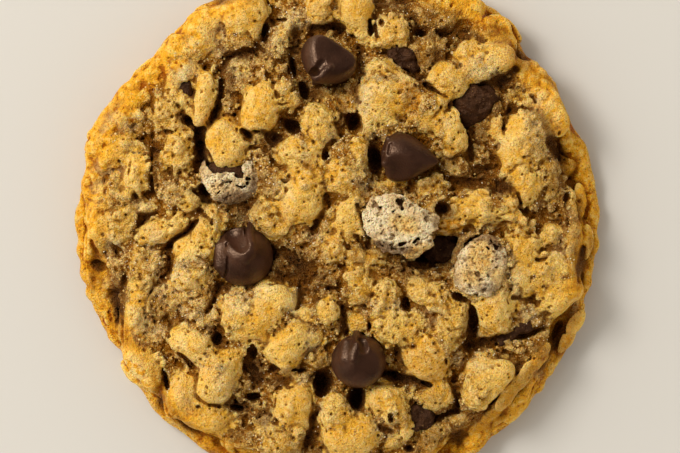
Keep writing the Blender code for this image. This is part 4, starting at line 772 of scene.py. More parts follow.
class Dough:
    """The field of the dough, with what its steps share."""

    def __init__(self):
        low, high = (-DOUGH_HALF, -DOUGH_HALF, -0.8), (DOUGH_HALF, DOUGH_HALF, DOUGH_TOP)
        self.field = Field(low, high, DOUGH_STEP)
        self.rng = np.random.default_rng(SEED)
        self.tone = np.zeros(self.field.shape, np.float32)
        self.smooth = np.zeros(self.field.shape, np.float32)
        self.measure_frame()
        self.lay_core()

    def measure_frame(self):
        """Heights and radii of the frame, spread over the grid."""
        field = self.field
        dough = node_tree_of("dough")
        chips = [node_tree_of(name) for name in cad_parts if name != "dough"]
        coarse = np.arange(-46.0, 46.6, 0.9)
        cap = height_map([dough], coarse, coarse, 0.0)
        chip = height_map(chips, coarse, coarse, 0.0)
        self.cap = spread(cap, (coarse, coarse), field.axes[:2])
        self.chip = spread(chip, (coarse, coarse), field.axes[:2])
        self.levels = np.maximum(field.axes[2], 0.02)
        turns = np.linspace(-math.pi, math.pi, SIDE_COLUMNS + 1)
        self.radii = side_map(dough, turns, np.minimum(self.levels, 11.0))
        self.x = field.axes[0][:, None]
        self.y = field.axes[1][None, :]
        self.plan_radius = np.hypot(self.x, self.y)
        self.plan_turn = np.arctan2(self.y, self.x)

    def cap_height(self, x, y):
        """Height of the frame's cap near a place."""
        i, j = self.field.cell(x, y)
        near = int(round(0.8 / self.field.step))
        return float(self.cap[max(0, i - near):i + near + 1, max(0, j - near):j + near + 1].max())

    def lay_core(self):
        """The plain core: inside the frame's side, under its cap, and over the floor."""
        field = self.field
        core = np.maximum(self.cap - CORE_DROP, self.chip - CHIP_COVER)
        for x0, y0, x1, y1, width, depth in CLEFTS:
            gap = np.hypot(*line_gap(self.x, self.y, x0, y0, x1, y1))
            core = core - 0.35 * depth * np.exp(-((gap / (width + 0.6)) ** 2))
        rim = np.clip((self.plan_radius - 38.0) / 3.0, 0.0, 1.0)
        core = core + rim * (CORE_DROP - RIM_DROP)
        self.core = blur(core, 0.5, field.step)
        place = side_place(self.plan_turn)
        cell = np.clip(place.astype(int), 0, SIDE_COLUMNS - 1)
        share = (place - cell)[..., None].astype(np.float32)
        side = self.radii[cell] * (1.0 - share) + self.radii[cell + 1] * share
        out = self.plan_radius[..., None] - side + 0.25
        top = 0.8 * (field.axes[2][None, None, :] - self.core[..., None])
        floor = -np.broadcast_to(field.axes[2][None, None, :], field.shape)
        field.values = np.maximum(np.maximum(out, top), floor).astype(np.float32)
        # how far shapes are pushed aside so that no lump is a plain oval, and the unevenness that
        # roughens them: soft bumps with thin folds between
        self.shift_x = 0.7 * field.noise(4.5, 11) + 0.4 * field.noise(1.9, 12)
        self.shift_y = 0.7 * field.noise(4.5, 13) + 0.4 * field.noise(1.9, 14)
        folds = np.exp(-((field.noise(1.2, 16) / 0.3) ** 2))
        folds = folds + 0.8 * np.exp(-((field.noise(2.3, 20) / 0.2) ** 2))
        self.rough = 0.4 * field.noise(1.6, 15) + 0.25 * field.noise(0.8, 18) + 0.65 * (folds - 0.45)
        calm = (1.0 - 0.45 * np.clip((self.plan_radius - 40.0) / 2.5, 0.0, 1.0))[..., None]
        ground = (0.75 * self.rough + 0.5 * field.noise(2.8, 17)) * calm
        field.values += ground * np.clip(field.axes[2] / 3.0 - 0.2, 0.05, 1.0)

    def add_lump(self, place, half, turn, lean=0.0, square=2.0, crumb=0.0, soft=JOIN, warp=1.0, tone=None):
        """One lump, uneven by `warp` and by its crumbliness. One with a tone also sets its colour."""
        cut, x, y, z = self.field.block_round(place, max(half) + 0.7 + 1.5 * warp)
        x = x + warp * self.shift_x[cut]
        y = y + warp * self.shift_y[cut]
        distance = lump_distance(x, y, z, place, half, turn, lean, square)
        distance = distance + warp * (0.18 + 0.6 * crumb) * self.rough[cut]
        if tone is not None:
            share = np.clip(0.5 + (self.field.values[cut] - distance) / 0.5, 0.0, 1.0)
            self.tone[cut] += share * (tone - self.tone[cut])
            self.smooth[cut] += share * (1.0 - 0.8 * crumb - self.smooth[cut])
        self.field.join(cut, distance, soft)

    def add_mounds(self):
        """The mounds of coated oats, each lifted a little over the frame's cap."""
        for x, y, length, width, turn, lift, crumb, tone in MOUNDS:
            top = self.cap_height(x, y) + lift
            deep = 0.55 * min(length, width) + 1.5
            lean = self.rng.uniform(-14.0, 14.0)
            place = (x, y, top + 0.25 - deep)
            self.add_lump(place, (length, width, deep), turn, lean, MOUND_SQUARE, crumb, tone=tone)

    def add_flakes(self):
        """Single oat flakes that stand out of the dough on their long side."""
        for x, y, length, width, turn, lean, lift in FLAKES:
            top = self.cap_height(x, y) + lift
            place, half = (x, y, top - 0.6), (length, width + 0.5, 0.55)
            self.add_lump(place, half, turn, lean, crumb=0.1, soft=0.25, warp=0.6, tone=0.1)

    def add_crumb(self):
        """Rounded crumbs, packed over everything but the smooth tops and the chips."""
        top = self.field.top()
        last = ((top - self.field.axes[2][0]) / self.field.step).astype(int)
        last = np.clip(last, 0, self.field.shape[2] - 1)
        smooth = np.take_along_axis(self.smooth, last[:, :, None], axis=2)[:, :, 0]
        steps = np.arange(-RIM_REACH, RIM_REACH + 1.0, CRUMB_SPACING)
        for x in steps:
            for y in steps:
                px = x + self.rng.uniform(-0.55, 0.55)
                py = y + self.rng.uniform(-0.55, 0.55)
                size = self.rng.uniform(0.38, 0.72)
                rise = self.rng.uniform(-0.55, 0.05) * size
                turn = self.rng.uniform(0.0, 180.0)
                chance = self.rng.uniform(0.0, 1.0)
                i = int((px - self.field.axes[0][0]) / self.field.step)
                j = int((py - self.field.axes[1][0]) / self.field.step)
                if math.hypot(px, py) > RIM_REACH or self.chip[i, j] > self.core[i, j] + 1.0:
                    continue
                if smooth[i, j] > 0.35 + 0.5 * chance:
                    continue
                place = (px, py, float(top[i, j]) + rise)
                half = (size * 1.3, size * 0.9, size * 0.85)
                self.add_lump(place, half, turn, 0.0, CRUMB_SQUARE, crumb=0.1, soft=0.22, warp=0.4)

    def add_skirts(self):
        """Dough that climbs up round each filmed chip and runs into its film."""
        for name in FILMS:
            length, width, height, turn = LUMP_CHIPS[name]
            low, high = (np.array(corner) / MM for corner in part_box(name))
            place = (low + high) / 2.0
            cut, x, y, z = self.field.block(low - 2.5, high + 2.5)
            x, y = x + 0.6 * self.shift_x[cut], y + 0.6 * self.shift_y[cut]
            half = (length + 0.7, width + 0.7, height)
            outer = lump_distance(x, y, z, place, half, turn, 0.0, MOUND_SQUARE)
            half = (length - 0.2, width - 0.2, height - 0.2)
            inner = lump_distance(x, y, z, place, half, turn, 0.0, MOUND_SQUARE)
            skirt = np.maximum(np.maximum(outer, -inner), z - place[2] - 0.35 * height)
            self.field.join(cut, skirt + 0.9 * self.rough[cut], 0.5)

    def add_rim(self):
        """Flakes and grains along the spread edge and up the side."""
        for k in range(RIM_FLAKES):
            turn = self.rng.uniform(-math.pi, math.pi)
            level = self.rng.uniform(0.9, 8.4)
            size = self.rng.uniform(0.5, 1.3)
            lean = self.rng.uniform(-30.0, 30.0)
            row = int(np.argmin(np.abs(self.levels - level)))
            radius = float(self.radii[int(side_place(turn)), row]) - 0.9 * size
            place = (radius * math.cos(turn), radius * math.sin(turn), level)
            half = (size * 1.5, size * 0.85, size * 0.6)
            heading = math.degrees(turn) + 90.0 + lean
            self.add_lump(place, half, heading, 0.0, CRUMB_SQUARE, soft=1.2, warp=0.6)

    def read_plan(self, plan, x, y):
        """What a table in plan says at a place."""
        i, j = self.field.cell(x, y)
        return float(plan[i, j])

    def cut_holes(self):
        """The dark holes, and the clefts between mounds."""
        top = blur(self.field.top(), 0.8, self.field.step)
        for x, y, length, width, turn, depth in HOLES:
            place = (x, y, self.read_plan(top, x, y) + 0.3)
            cut, gx, gy, gz = self.field.block_round(place, max(length, width, depth) + 1.2)
            gx = gx + 0.9 * self.shift_x[cut]
            gy = gy + 0.9 * self.shift_y[cut]
            distance = lump_distance(gx, gy, gz, place, (length, width, depth + 0.3), turn)
            self.field.carve(cut, distance + 0.45 * self.rough[cut], 0.35)
        for x0, y0, x1, y1, width, depth in CLEFTS:
            start = np.array((x0, y0, self.read_plan(top, x0, y0)))
            end = np.array((x1, y1, self.read_plan(top, x1, y1)))
            reach = depth + 1.0
            low, high = np.minimum(start, end) - reach, np.maximum(start, end) + reach
            cut, gx, gy, gz = self.field.block(low, high)
            gx = gx + 1.3 * self.shift_x[cut]
            gy = gy + 1.3 * self.shift_y[cut]
            squash = width / (0.8 * depth)
            start[2] *= squash
            end[2] *= squash
            distance = bar_distance(gx, gy, gz * squash, start, end, 0.6 * width)
            self.field.carve(cut, distance + 0.5 * self.rough[cut] + 0.25 * self.shift_x[cut], 0.8)

    def cut_pores(self):
        """Open bubbles: many in the rough ground, few and small in the tops."""
        top = self.field.top()
        smooth = np.zeros(top.shape, np.float32)
        for mound in MOUNDS:
            share = (1.0 - 0.8 * mound[6]) * spot_share(self.x, self.y, mound[:5])
            smooth = np.maximum(smooth, share)
        for k in range(PORE_TRIES):
            x, y = self.rng.uniform(-PORE_REACH, PORE_REACH, 2)
            chance = self.rng.uniform(0.0, 1.0)
            share = self.read_plan(smooth, x, y)
            size = (0.34 - 0.12 * share) * self.rng.uniform(0.55, 1.25)
            if math.hypot(x, y) > PORE_REACH - 6.0 * chance or share > chance + 0.15:
                continue
            z = self.read_plan(top, x, y)
            cut, gx, gy, gz = self.field.block((x - 1, y - 1, z - 1.2), (x + 1, y + 1, z + 1))
            distance = lump_distance(gx, gy, gz, (x, y, z), (size, size * 0.8, size * 1.1), 40.0 * k)
            self.field.carve(cut, distance, 0.16)

    def make(self, material):
        """Build the dough up and carve it, then make its three pieces: edge, mounds and the rest."""
        self.add_skirts()
        self.add_rim()
        self.add_mounds()
        self.add_flakes()
        self.add_crumb()
        self.cut_holes()
        self.cut_pores()
        floor = -self.field.axes[2][None, None, :]
        self.field.values = np.maximum(self.field.values, floor)
        points, faces = self.field.skin()
        # the share of solid close by and further off tells hollows from tops, for the painted shade and
        # highlights
        solid = np.clip(0.5 - self.field.values / (2.0 * self.field.step), 0.0, 1.0)
        self.near = blur(solid, 0.45, self.field.step)
        self.wide = blur(solid, 1.3, self.field.step)
        self.level = blur(self.field.top(), 2.6, self.field.step)
        middles = points[faces].mean(axis=1)
        outside = np.hypot(middles[:, 0], middles[:, 1]) > EDGE_RADIUS
        at_edge = outside | (middles[:, 2] < EDGE_HEIGHT)
        on_mound = self.field.read(self.smooth, middles) > 0.45
        kinds = np.where(at_edge, 0, np.where(on_mound, 1, 2))
        names = ("cookie_edge_and_base", "oat_clusters", "rough_crumb")
        return [self.cut_out(name, points, faces, kinds, kind, material) for kind, name in enumerate(names)]

    def cut_out(self, name, points, faces, kinds, kind, material):
        """The faces of one kind as a piece of their own, which meets the others point to point."""
        own = faces[kinds == kind]
        used = np.unique(own)
        place = np.full(len(points), -1, np.int32)
        place[used] = np.arange(len(used))
        shared = np.zeros(len(points), bool)
        shared[np.unique(faces[kinds != kind])] = True
        piece = make_piece(name, points[used], place[own], material, DOUGH_FACES, shared[used])
        self.paint_all(piece)
        settle(piece, ["dough"])
        return piece

    def paint_all(self, piece):
        """What the oven did to each place, with painted light: hollows browned and painted in shade, raised
        bits lightened with painted highlight, tops pale, edge darker.
        """
        points = piece_points(piece)
        x, y, z = points.T
        field = self.field
        cells = [((v - axis[0]) / field.step).astype(int) for v, axis in zip((x, y), field.axes)]
        i, j = (np.clip(cell, 0, size - 1) for cell, size in zip(cells, field.shape))
        # real glaze and painted shade from the table, and painted shade along each cleft
        stain_and_shade = spots_amount(x, y, STAINS_AND_SHADE)
        for x0, y0, x1, y1, width, deep in CLEFTS:
            gap = np.hypot(*line_gap(x, y, x0, y0, x1, y1))
            stain_and_shade = np.maximum(stain_and_shade, 0.35 * deep * np.exp(-((gap / (0.5 + width)) ** 2)))
        column = np.clip(side_place(np.arctan2(y, x)).astype(int), 0, SIDE_COLUMNS - 1)
        belly = self.radii[:, int(np.argmin(np.abs(self.levels - BELLY_HEIGHT)))]
        layers = {
            "cavity_for_painted_light": 2.0 * (field.read(self.near, points) - 0.5),
            "shut_in": 2.0 * (field.read(self.wide, points) - 0.5),
            "depth": self.level[i, j] - z,
            "tone": field.read(self.tone, points),
            "smooth": field.read(self.smooth, points),
            "stain_and_shade": stain_and_shade,
            "pale": spots_amount(x, y, PALE_SKIN_AND_LIGHT),
            "edge": np.hypot(x, y) - belly[column],
        }
        for name, values in layers.items():
            paint(piece, name, values)


# ---- chips -----------------------------------------------------------------------------------------
def chip_distance(x, y, z, chip):
    """Distance to a whole chip, turned and laid as its row says."""
    cx, cy, base, heading, tilt, radius, length, bend = chip
    ahead, aside = turned(x - cx, y - cy, heading)
    rise, ahead = turned(z - base, ahead, tilt)
    ahead = ahead - bend * 2.0 * np.clip(rise / length - 0.4, 0.0, 1.0) ** 1.5
    shares, widths = np.array(CHIP_SIDE).T
    side = np.interp(rise, shares * length, widths * radius).astype(np.float32)
    round_side = (np.sqrt(ahead ** 2 + aside ** 2) - side) * 0.85
    return np.maximum(np.maximum(round_side, -rise), rise - length)


def chip_field(name, room, step):
    """A field over a chip's node and some room round it: the field, its x, y and z, and the
    node's corners."""
    low, high = (np.array(corner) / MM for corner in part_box(name))
    field = Field(low - room, high + room, step)
    return field, field.whole()[1:], low, high


def add_folds(field, name):
    """Press grooves and raise ridges along lines drawn on the chip from above."""
    top = field.top()
    for line, radius, depth in CHIP_FOLDS[name]:
        placed = []
        for x, y in line:
            i, j = field.cell(x, y)
            height = top[i, j] or top[top > 0.0].min()
            placed.append((x, y, float(height) + math.copysign(radius, depth) - depth))
        cut, x, y, z = field.whole()
        bars = [bar_distance(x, y, z, start, end, radius) for start, end in zip(placed, placed[1:])]
        distance = np.minimum.reduce(bars)
        if depth > 0:
            field.carve(cut, distance, 0.25)
        else:
            field.join(cut, distance, 0.6)


def make_whole_chip(name, material):
    """A moulded chip with its flat and folds, kept under the top of its node."""
    field, (x, y, z), low, high = chip_field(name, CHIP_ROOM, CHIP_STEP)
    field.values = chip_distance(x, y, z, WHOLE_CHIPS[name]).astype(np.float32)
    px, py, pz, facing, lean = CHIP_FLATS[name]
    ahead = turned(x - px, y - py, facing)[0]
    field.values = np.maximum(field.values, turned(z - pz, ahead, lean)[0])
    field.values = blur(field.values, 0.4, field.step)
    add_folds(field, name)
    field.values += 0.05 * field.noise(2.6, 31)
    field.values = np.maximum(field.values, field.axes[2] - high[2] - 0.1)
    piece = make_piece("shaped_" + name, *field.skin(), material, CHIP_FACES)
    settle(piece, [name])


def make_lump_chip(name, material):
    """Chocolate that sank into the dough: an even lump under its film, or melted, lower and rough."""
    length, width, height, turn = LUMP_CHIPS[name]
    field, (x, y, z), low, high = chip_field(name, CHIP_ROOM, CHIP_STEP)
    middle = (low + high) / 2.0
    sway = field.noise(2.4, 41)
    if name in FILMS:
        warp, slot = 0.3, "coated_chocolate"
        half = (length - FILM_SPACE, width - FILM_SPACE, height - FILM_SPACE)
        bumps = 0.12 * field.noise(1.6, 42)
    else:
        warp, slot = 0.9, "chocolate"
        half = (length + MELTED_SPREAD, width + MELTED_SPREAD, height - 0.5)
        middle[2] -= MELTED_DROP
        bumps = 0.8 * field.noise(1.7, 42) + 0.45 * field.noise(0.8, 43) + 0.15 * field.noise(0.4, 44)
    distance = lump_distance(x + warp * sway, y - warp * sway, z, middle, half, turn, 0.0, LUMP_SQUARE)
    field.values = (distance + bumps).astype(np.float32)
    piece = make_piece("shaped_" + name, *field.skin(), material, CHIP_FACES // 2)
    settle(piece, [name])


# ---- films over the coated chips ----------------------------------------------------------------
# Where each film has cracked open, seen from above: (points, half width) for each crack
FILM_CRACKS = {
    "chip_coated_left": (
        (((-19.9, 8.2), (-19.2, 7.7), (-18.0, 7.9)), 0.22),
        (((-17.3, 7.1), (-16.5, 6.6), (-15.7, 6.9)), 0.26), (((-15.2, 8.2), (-15.0, 8.2)), 0.42),
        (((-20.9, 5.5), (-20.2, 6.2)), 0.18),
    ),
    "chip_coated_middle": (
        (((5.2, -1.8), (5.8, -2.4)), 0.24), (((6.9, -2.9), (7.6, -3.1)), 0.36),
        (((8.9, -3.1), (9.3, -2.7)), 0.30), (((10.6, -3.0), (11.4, -2.7)), 0.36),
        (((12.9, -2.7), (13.5, -2.2)), 0.40), (((10.2, 4.5), (10.9, 4.0)), 0.42),
        (((10.7, 4.2), (11.2, 4.5)), 0.34), (((10.8, 4.0), (11.1, 3.3)), 0.30),
        (((7.0, 2.7), (7.2, 2.7)), 0.18), (((9.4, 2.6), (9.6, 2.6)), 0.20),
    ),
    "chip_coated_right": (
        (((23.4, -11.4), (23.6, -11.4)), 0.40), (((26.2, -2.4), (27.2, -3.4)), 0.30),
        (((27.6, -2.8), (27.8, -3.8)), 0.26), (((25.4, -3.4), (25.8, -3.6)), 0.24),
    ),
}

# How a film lies over its chip: thickness, lowest height over the chip's box, how far it
# spreads past the chip
FILMS = {
    "chip_coated_left": (0.55, 2.0, 0.6),
    "chip_coated_middle": (0.7, 1.6, 1.8),
    "chip_coated_right": (0.8, 0.6, 0.1),
}
FILM_SQUARE = 2.6
FILM_ROOM = 1.8          # room that a film's grid leaves round the chip's node

# Where each film ends and broke off: its outline from above
FILM_OUTLINES = {
    "chip_coated_right": (
        (19.3, -6.0), (20.6, -4.4), (22.6, -2.6), (24.6, -1.2), (27.4, -1.4), (29.4, -3.4), (30.0, -6.5),
        (29.2, -9.8), (26.5, -12.0), (23.2, -12.4), (20.2, -11.2), (19.0, -8.6),
    ),
    "chip_coated_left": (
        (-23.7, 9.8), (-23.0, 7.8), (-22.3, 6.2), (-21.0, 4.4), (-17.7, 3.2), (-15.0, 4.2), (-13.3, 7.0),
        (-13.2, 10.0), (-14.2, 11.6), (-15.8, 11.2), (-16.4, 10.2), (-15.9, 9.2), (-16.4, 8.4), (-17.0, 8.2),
        (-17.5, 8.6), (-17.6, 9.3), (-19.0, 9.4), (-20.0, 9.0), (-21.1, 9.0), (-22.0, 10.0), (-22.6, 11.4),
        (-23.4, 11.2),
    ),
    "chip_coated_middle": (
        (4.3, 2.3), (5.5, 4.9), (9.1, 5.8), (11.4, 5.4), (13.5, 3.8), (15.0, 2.6), (17.4, 1.5), (17.0, -0.3),
        (15.9, -1.0), (16.4, -3.3), (12.2, -5.9), (11.0, -4.6), (7.8, -4.3), (6.0, -2.6), (4.3, -0.3),
    ),
}

# Where a film stayed as gold as the dough: (x, y, half length, half width, turn, amount)
FILM_GOLD = (
    (11.4, 0.4, 3.4, 1.8, -20, 0.8), (13.0, -4.4, 3.2, 1.2, 30, 1.0),
    (24.2, -5.2, 2.4, 3.4, 0, 1.0), (22.4, -8.4, 2.6, 2.2, 0, 0.6),
    (27.4, -8.4, 2.0, 2.4, 0, 0.6), (-21.0, 6.4, 2.0, 1.6, 0, 0.5),
)

# Where chocolate shows brown through a film, and painted shade at its borders: (x, y, half length, half
# width, turn, amount)
FILM_BROWN_AND_SHADE = (
    (-17.4, 4.2, 4.6, 2.2, 10, 1.0), (-14.2, 6.4, 1.6, 2.6, 0, 0.7), (-20.8, 10.2, 1.2, 1.0, 0, 0.4),
    (26.6, -2.2, 2.4, 1.4, -40, 0.8), (25.6, -10.4, 2.6, 1.2, 0, 0.5), (24.4, -1.8, 1.6, 0.8, 20, 0.6),
    (9.8, -4.0, 5.0, 0.9, 0, 0.8), (7.2, -3.2, 3.2, 1.0, -10, 0.9), (16.6, 0.6, 1.2, 1.6, 0, 0.5),
    (20.0, -9.6, 1.2, 2.2, 0, 0.4),
)


def outline_distance(x, y, corners):
    """Distance in the plan to an outline, below zero inside it."""
    inside = np.zeros(np.broadcast_shapes(x.shape, y.shape), bool)
    nearest = np.full(inside.shape, 99.0, np.float32)
    for (x0, y0), (x1, y1) in zip(corners, corners[1:] + corners[:1]):
        nearest = np.minimum(nearest, np.hypot(*line_gap(x, y, x0, y0, x1, y1)))
        crossing = (x1 - x0) * (y - y0) / (y1 - y0 if y1 != y0 else 1e-6) + x0
        inside ^= ((y0 > y) != (y1 > y)) & (x < crossing)
    return np.where(inside, -nearest, nearest)


def make_film(name, material):
    """A thin skin of dough over a chip: a cracked, pitted shell of the chip's own shape."""
    thickness, lowest, overhang = FILMS[name]
    length, width, height, turn = LUMP_CHIPS[name]
    field, (x, y, z), low, high = chip_field(name, FILM_ROOM, FILM_STEP)
    cut = field.whole()[0]
    middle = (low + high) / 2.0
    sway, side_sway = field.noise(2.4, 41), field.noise(2.0, 44)
    pits = np.clip(field.noise(0.34, 45) + 0.4 * field.noise(1.2, 46) - 0.3, 0.0, 0.6)
    lumps = 0.25 * field.noise(1.0, 47) + 0.7 * field.noise(0.45, 50)
    fine = lumps + 2.5 * pits
    ragged = 0.22 * field.noise(0.7, 49)
    outer = (length + overhang, width + overhang, height + 0.15)
    gx, gy = x + 0.5 * sway, y - 0.5 * side_sway
    distance = lump_distance(gx, gy, z, middle, outer, turn, 0.0, FILM_SQUARE)
    shell = distance + 0.35 * lumps + 0.9 * pits + 0.3 * field.noise(1.8, 48)
    field.values = np.maximum(shell, -(distance + thickness)).astype(np.float32)
    field.values = np.maximum(field.values, low[2] + lowest - z + 0.8 * side_sway)
    edge = outline_distance(x + 0.2 * sway, y + 0.2 * side_sway, FILM_OUTLINES[name])
    field.carve(cut, -(edge + 0.35 * lumps), 0.12)
    for line, half_width in FILM_CRACKS[name]:
        for (x0, y0), (x1, y1) in zip(line, line[1:]):
            gap = np.hypot(*line_gap(x + 0.3 * side_sway, y + 0.3 * sway, x0, y0, x1 + 0.01, y1))
            field.carve(cut, np.maximum(gap - half_width + 0.3 * fine + ragged, middle[2] - z), 0.1)
    piece = make_piece("film_over_" + name, *field.skin(), material, FILM_FACES)
    points = piece_points(piece)
    paint(piece, "proud", field.read(fine, points))
    paint(piece, "low", (high[2] - points[:, 2]) / (high[2] - middle[2]))
    paint(piece, "gold", spots_amount(points[:, 0], points[:, 1], FILM_GOLD))
    paint(piece, "brown", spots_amount(points[:, 0], points[:, 1], FILM_BROWN_AND_SHADE))
    settle(piece, [name])


# ---- grains ----------------------------------------------------------------------------------------
def grain_shape():
    """An even ball of 12 points and 20 triangles, radius 1."""
    wide = (1.0 + math.sqrt(5.0)) / 2.0
    points = []
    for a in (-1.0, 1.0):
        for b in (-wide, wide):
            points += [(a, b, 0.0), (0.0, a, b), (b, 0.0, a)]
    points = np.array(points, np.float32) / math.hypot(1.0, wide)
    faces = []
    for i in range(12):
        for j in range(i + 1, 12):
            for k in range(j + 1, 12):
                sides = [np.linalg.norm(points[p] - points[q]) for p, q in ((i, j), (j, k), (k, i))]
                if max(sides) < 1.2:
                    normal = np.cross(points[j] - points[i], points[k] - points[i])
                    faces.append((i, j, k) if np.dot(normal, points[i]) > 0 else (i, k, j))
    return points, np.array(faces)


def scatter_grains(name, ground, sizes, sink, material, seed):
    """Irregular little grains, half sunk in the rough ground, few of them in its hollows."""
    rng = np.random.default_rng(seed)
    places = piece_points(ground)
    shut_in = read_numbers(ground.data.attributes["shut_in"].data, "value", len(places))
    stain_and_shade = read_numbers(ground.data.attributes["stain_and_shade"].data, "value", len(places))
    share = np.clip(1.0 - 2.0 * shut_in, 0.0, 1.0) * np.clip(1.05 - 1.3 * stain_and_shade, 0.0, 1.0)
    normals = read_numbers(ground.data.vertices, "normal", 3 * len(places)).reshape(-1, 3)
    picks = rng.choice(len(places), GRAINS, replace=False, p=share / share.sum())
    ball, ball_faces = grain_shape()
    count = len(picks)
    size = rng.uniform(*sizes, count) * rng.uniform(0.8, 1.0, count)
    turns = np.linalg.qr(rng.normal(size=(count, 3, 3)))[0]
    turns *= np.sign(np.linalg.det(turns))[:, None, None]
    stretch = rng.uniform(0.65, 1.25, (count, 1, 3))
    bumps = 1.0 + rng.uniform(-0.18, 0.18, (count, 12, 1))
    shape = np.einsum("nij,nkj->nki", turns, ball[None] * stretch * bumps) * size[:, None, None]
    middle = places[picks] + normals[picks] * (size * sink)[:, None]
    points = (shape + middle[:, None, :]).reshape(-1, 3)
    points[:, 2] = np.maximum(points[:, 2], 0.02)
    faces = (ball_faces[None] + 12 * np.arange(count)[:, None, None]).reshape(-1, 3)
    piece = make_piece(name, points, faces, material)
    paint(piece, "shade", np.repeat(rng.uniform(0.0, 1.0, count), 12))
    settle(piece, ["dough"])


# ---- materials ---------------------------------------------------------------------------------------
def linear(code):
    """A colour written as sRGB hex, turned to the linear numbers that shaders take."""
    parts = [int(code[k:k + 2], 16) / 255.0 for k in (1, 3, 5)]
    return [p / 12.92 if p <= 0.04045 else ((p + 0.055) / 1.055) ** 2.4 for p in parts] + [1.0]


def per_mm(size):
    """Texture scale, in metres, of a pattern that repeats every `size` mm."""
    return 1.0 / (size * MM)


def add_node(tree, kind, settings=None, links=None):
    """Add a node; settings go to its own fields or sockets, links join its sockets to others."""
    node = tree.nodes.new(kind)
    for key, value in (settings or {}).items():
        if isinstance(key, str) and hasattr(node, key):
            setattr(node, key, value)
        else:
            node.inputs[key].default_value = value
    for key, source in (links or {}).items():
        tree.links.new(source, node.inputs[key])
    return node


def feed(tree, socket, value):
    """Give a socket a number, a colour (hex code or list) or another node's output."""
    value = linear(value) if isinstance(value, str) else value
    if isinstance(value, (int, float, list)):
        socket.default_value = value
    else:
        tree.links.new(value, socket)


class Finish:
    """A new material and short ways to add its nodes."""

    def __init__(self, name):
        self.material = bpy.data.materials.new(name)
        self.material.use_nodes = True
        self.tree = self.material.node_tree
        self.tree.nodes.clear()
        self.place = add_node(self.tree, "ShaderNodeTexCoord").outputs["Object"]

    def layer(self, name):
        return add_node(self.tree, "ShaderNodeAttribute", {"attribute_name": name}).outputs["Fac"]

    def noise(self, size, detail=2.0, rough=0.5):
        settings = {"Scale": per_mm(size), "Detail": detail, "Roughness": rough}
        return add_node(self.tree, "ShaderNodeTexNoise", settings, {"Vector": self.place}).outputs["Fac"]

    def cells(self, size):
        """Distance from the middle of the nearest cell, and a random number for that cell."""
        cells = add_node(self.tree, "ShaderNodeTexVoronoi", {"Scale": per_mm(size)}, {"Vector": self.place})
        chance = add_node(self.tree, "ShaderNodeSeparateColor", None, {0: cells.outputs["Color"]})
        return cells.outputs["Distance"], chance.outputs[0]

    def calc(self, operation, first, second):
        node = add_node(self.tree, "ShaderNodeMath", {"operation": operation})
        feed(self.tree, node.inputs[0], first)
        feed(self.tree, node.inputs[1], second)
        return node.outputs[0]

    def times(self, first, second):
        return self.calc("MULTIPLY", first, second)

    def plus(self, *values):
        total = values[0]
        for value in values[1:]:
            total = self.calc("ADD", total, value)
        return total

    def ramp(self, value, low, high):
        settings = {"From Min": low, "From Max": high, "interpolation_type": "SMOOTHSTEP"}
        return add_node(self.tree, "ShaderNodeMapRange", settings, {"Value": value}).outputs["Result"]

    def blend(self, share, first, second):
        """Colour `second` over `first`; a colour is a hex code or a socket."""
        node = add_node(self.tree, "ShaderNodeMix", {"data_type": "RGBA", "clamp_factor": True})
        for index, value in ((0, share), (6, first), (7, second)):
            feed(self.tree, node.inputs[index], value)
        return node.outputs[2]

    def over(self, color, coat, value, low, high, share):
        """Colour `coat` laid over `color` where the value goes from low to high, at most by a share."""
        return self.blend(self.times(self.ramp(value, low, high), share), color, coat)

    def bump(self, height):
        """Relief whose height is in millimetres."""
        settings = {"Strength": 1.0, "Distance": MM}
        return add_node(self.tree, "ShaderNodeBump", settings, {"Height": height}).outputs[0]

    def shade(self, color, rough, normal=None, **settings):
        """Join everything to the shader and the output."""
        settings = {key.replace("_", " "): value for key, value in settings.items()}
        shader = add_node(self.tree, "ShaderNodeBsdfPrincipled", settings)
        for socket, value in (("Base Color", color), ("Roughness", rough), ("Normal", normal)):
            if value is not None:
                feed(self.tree, shader.inputs[socket], value)
        add_node(self.tree, "ShaderNodeOutputMaterial", None, {"Surface": shader.outputs[0]})
        return self.material


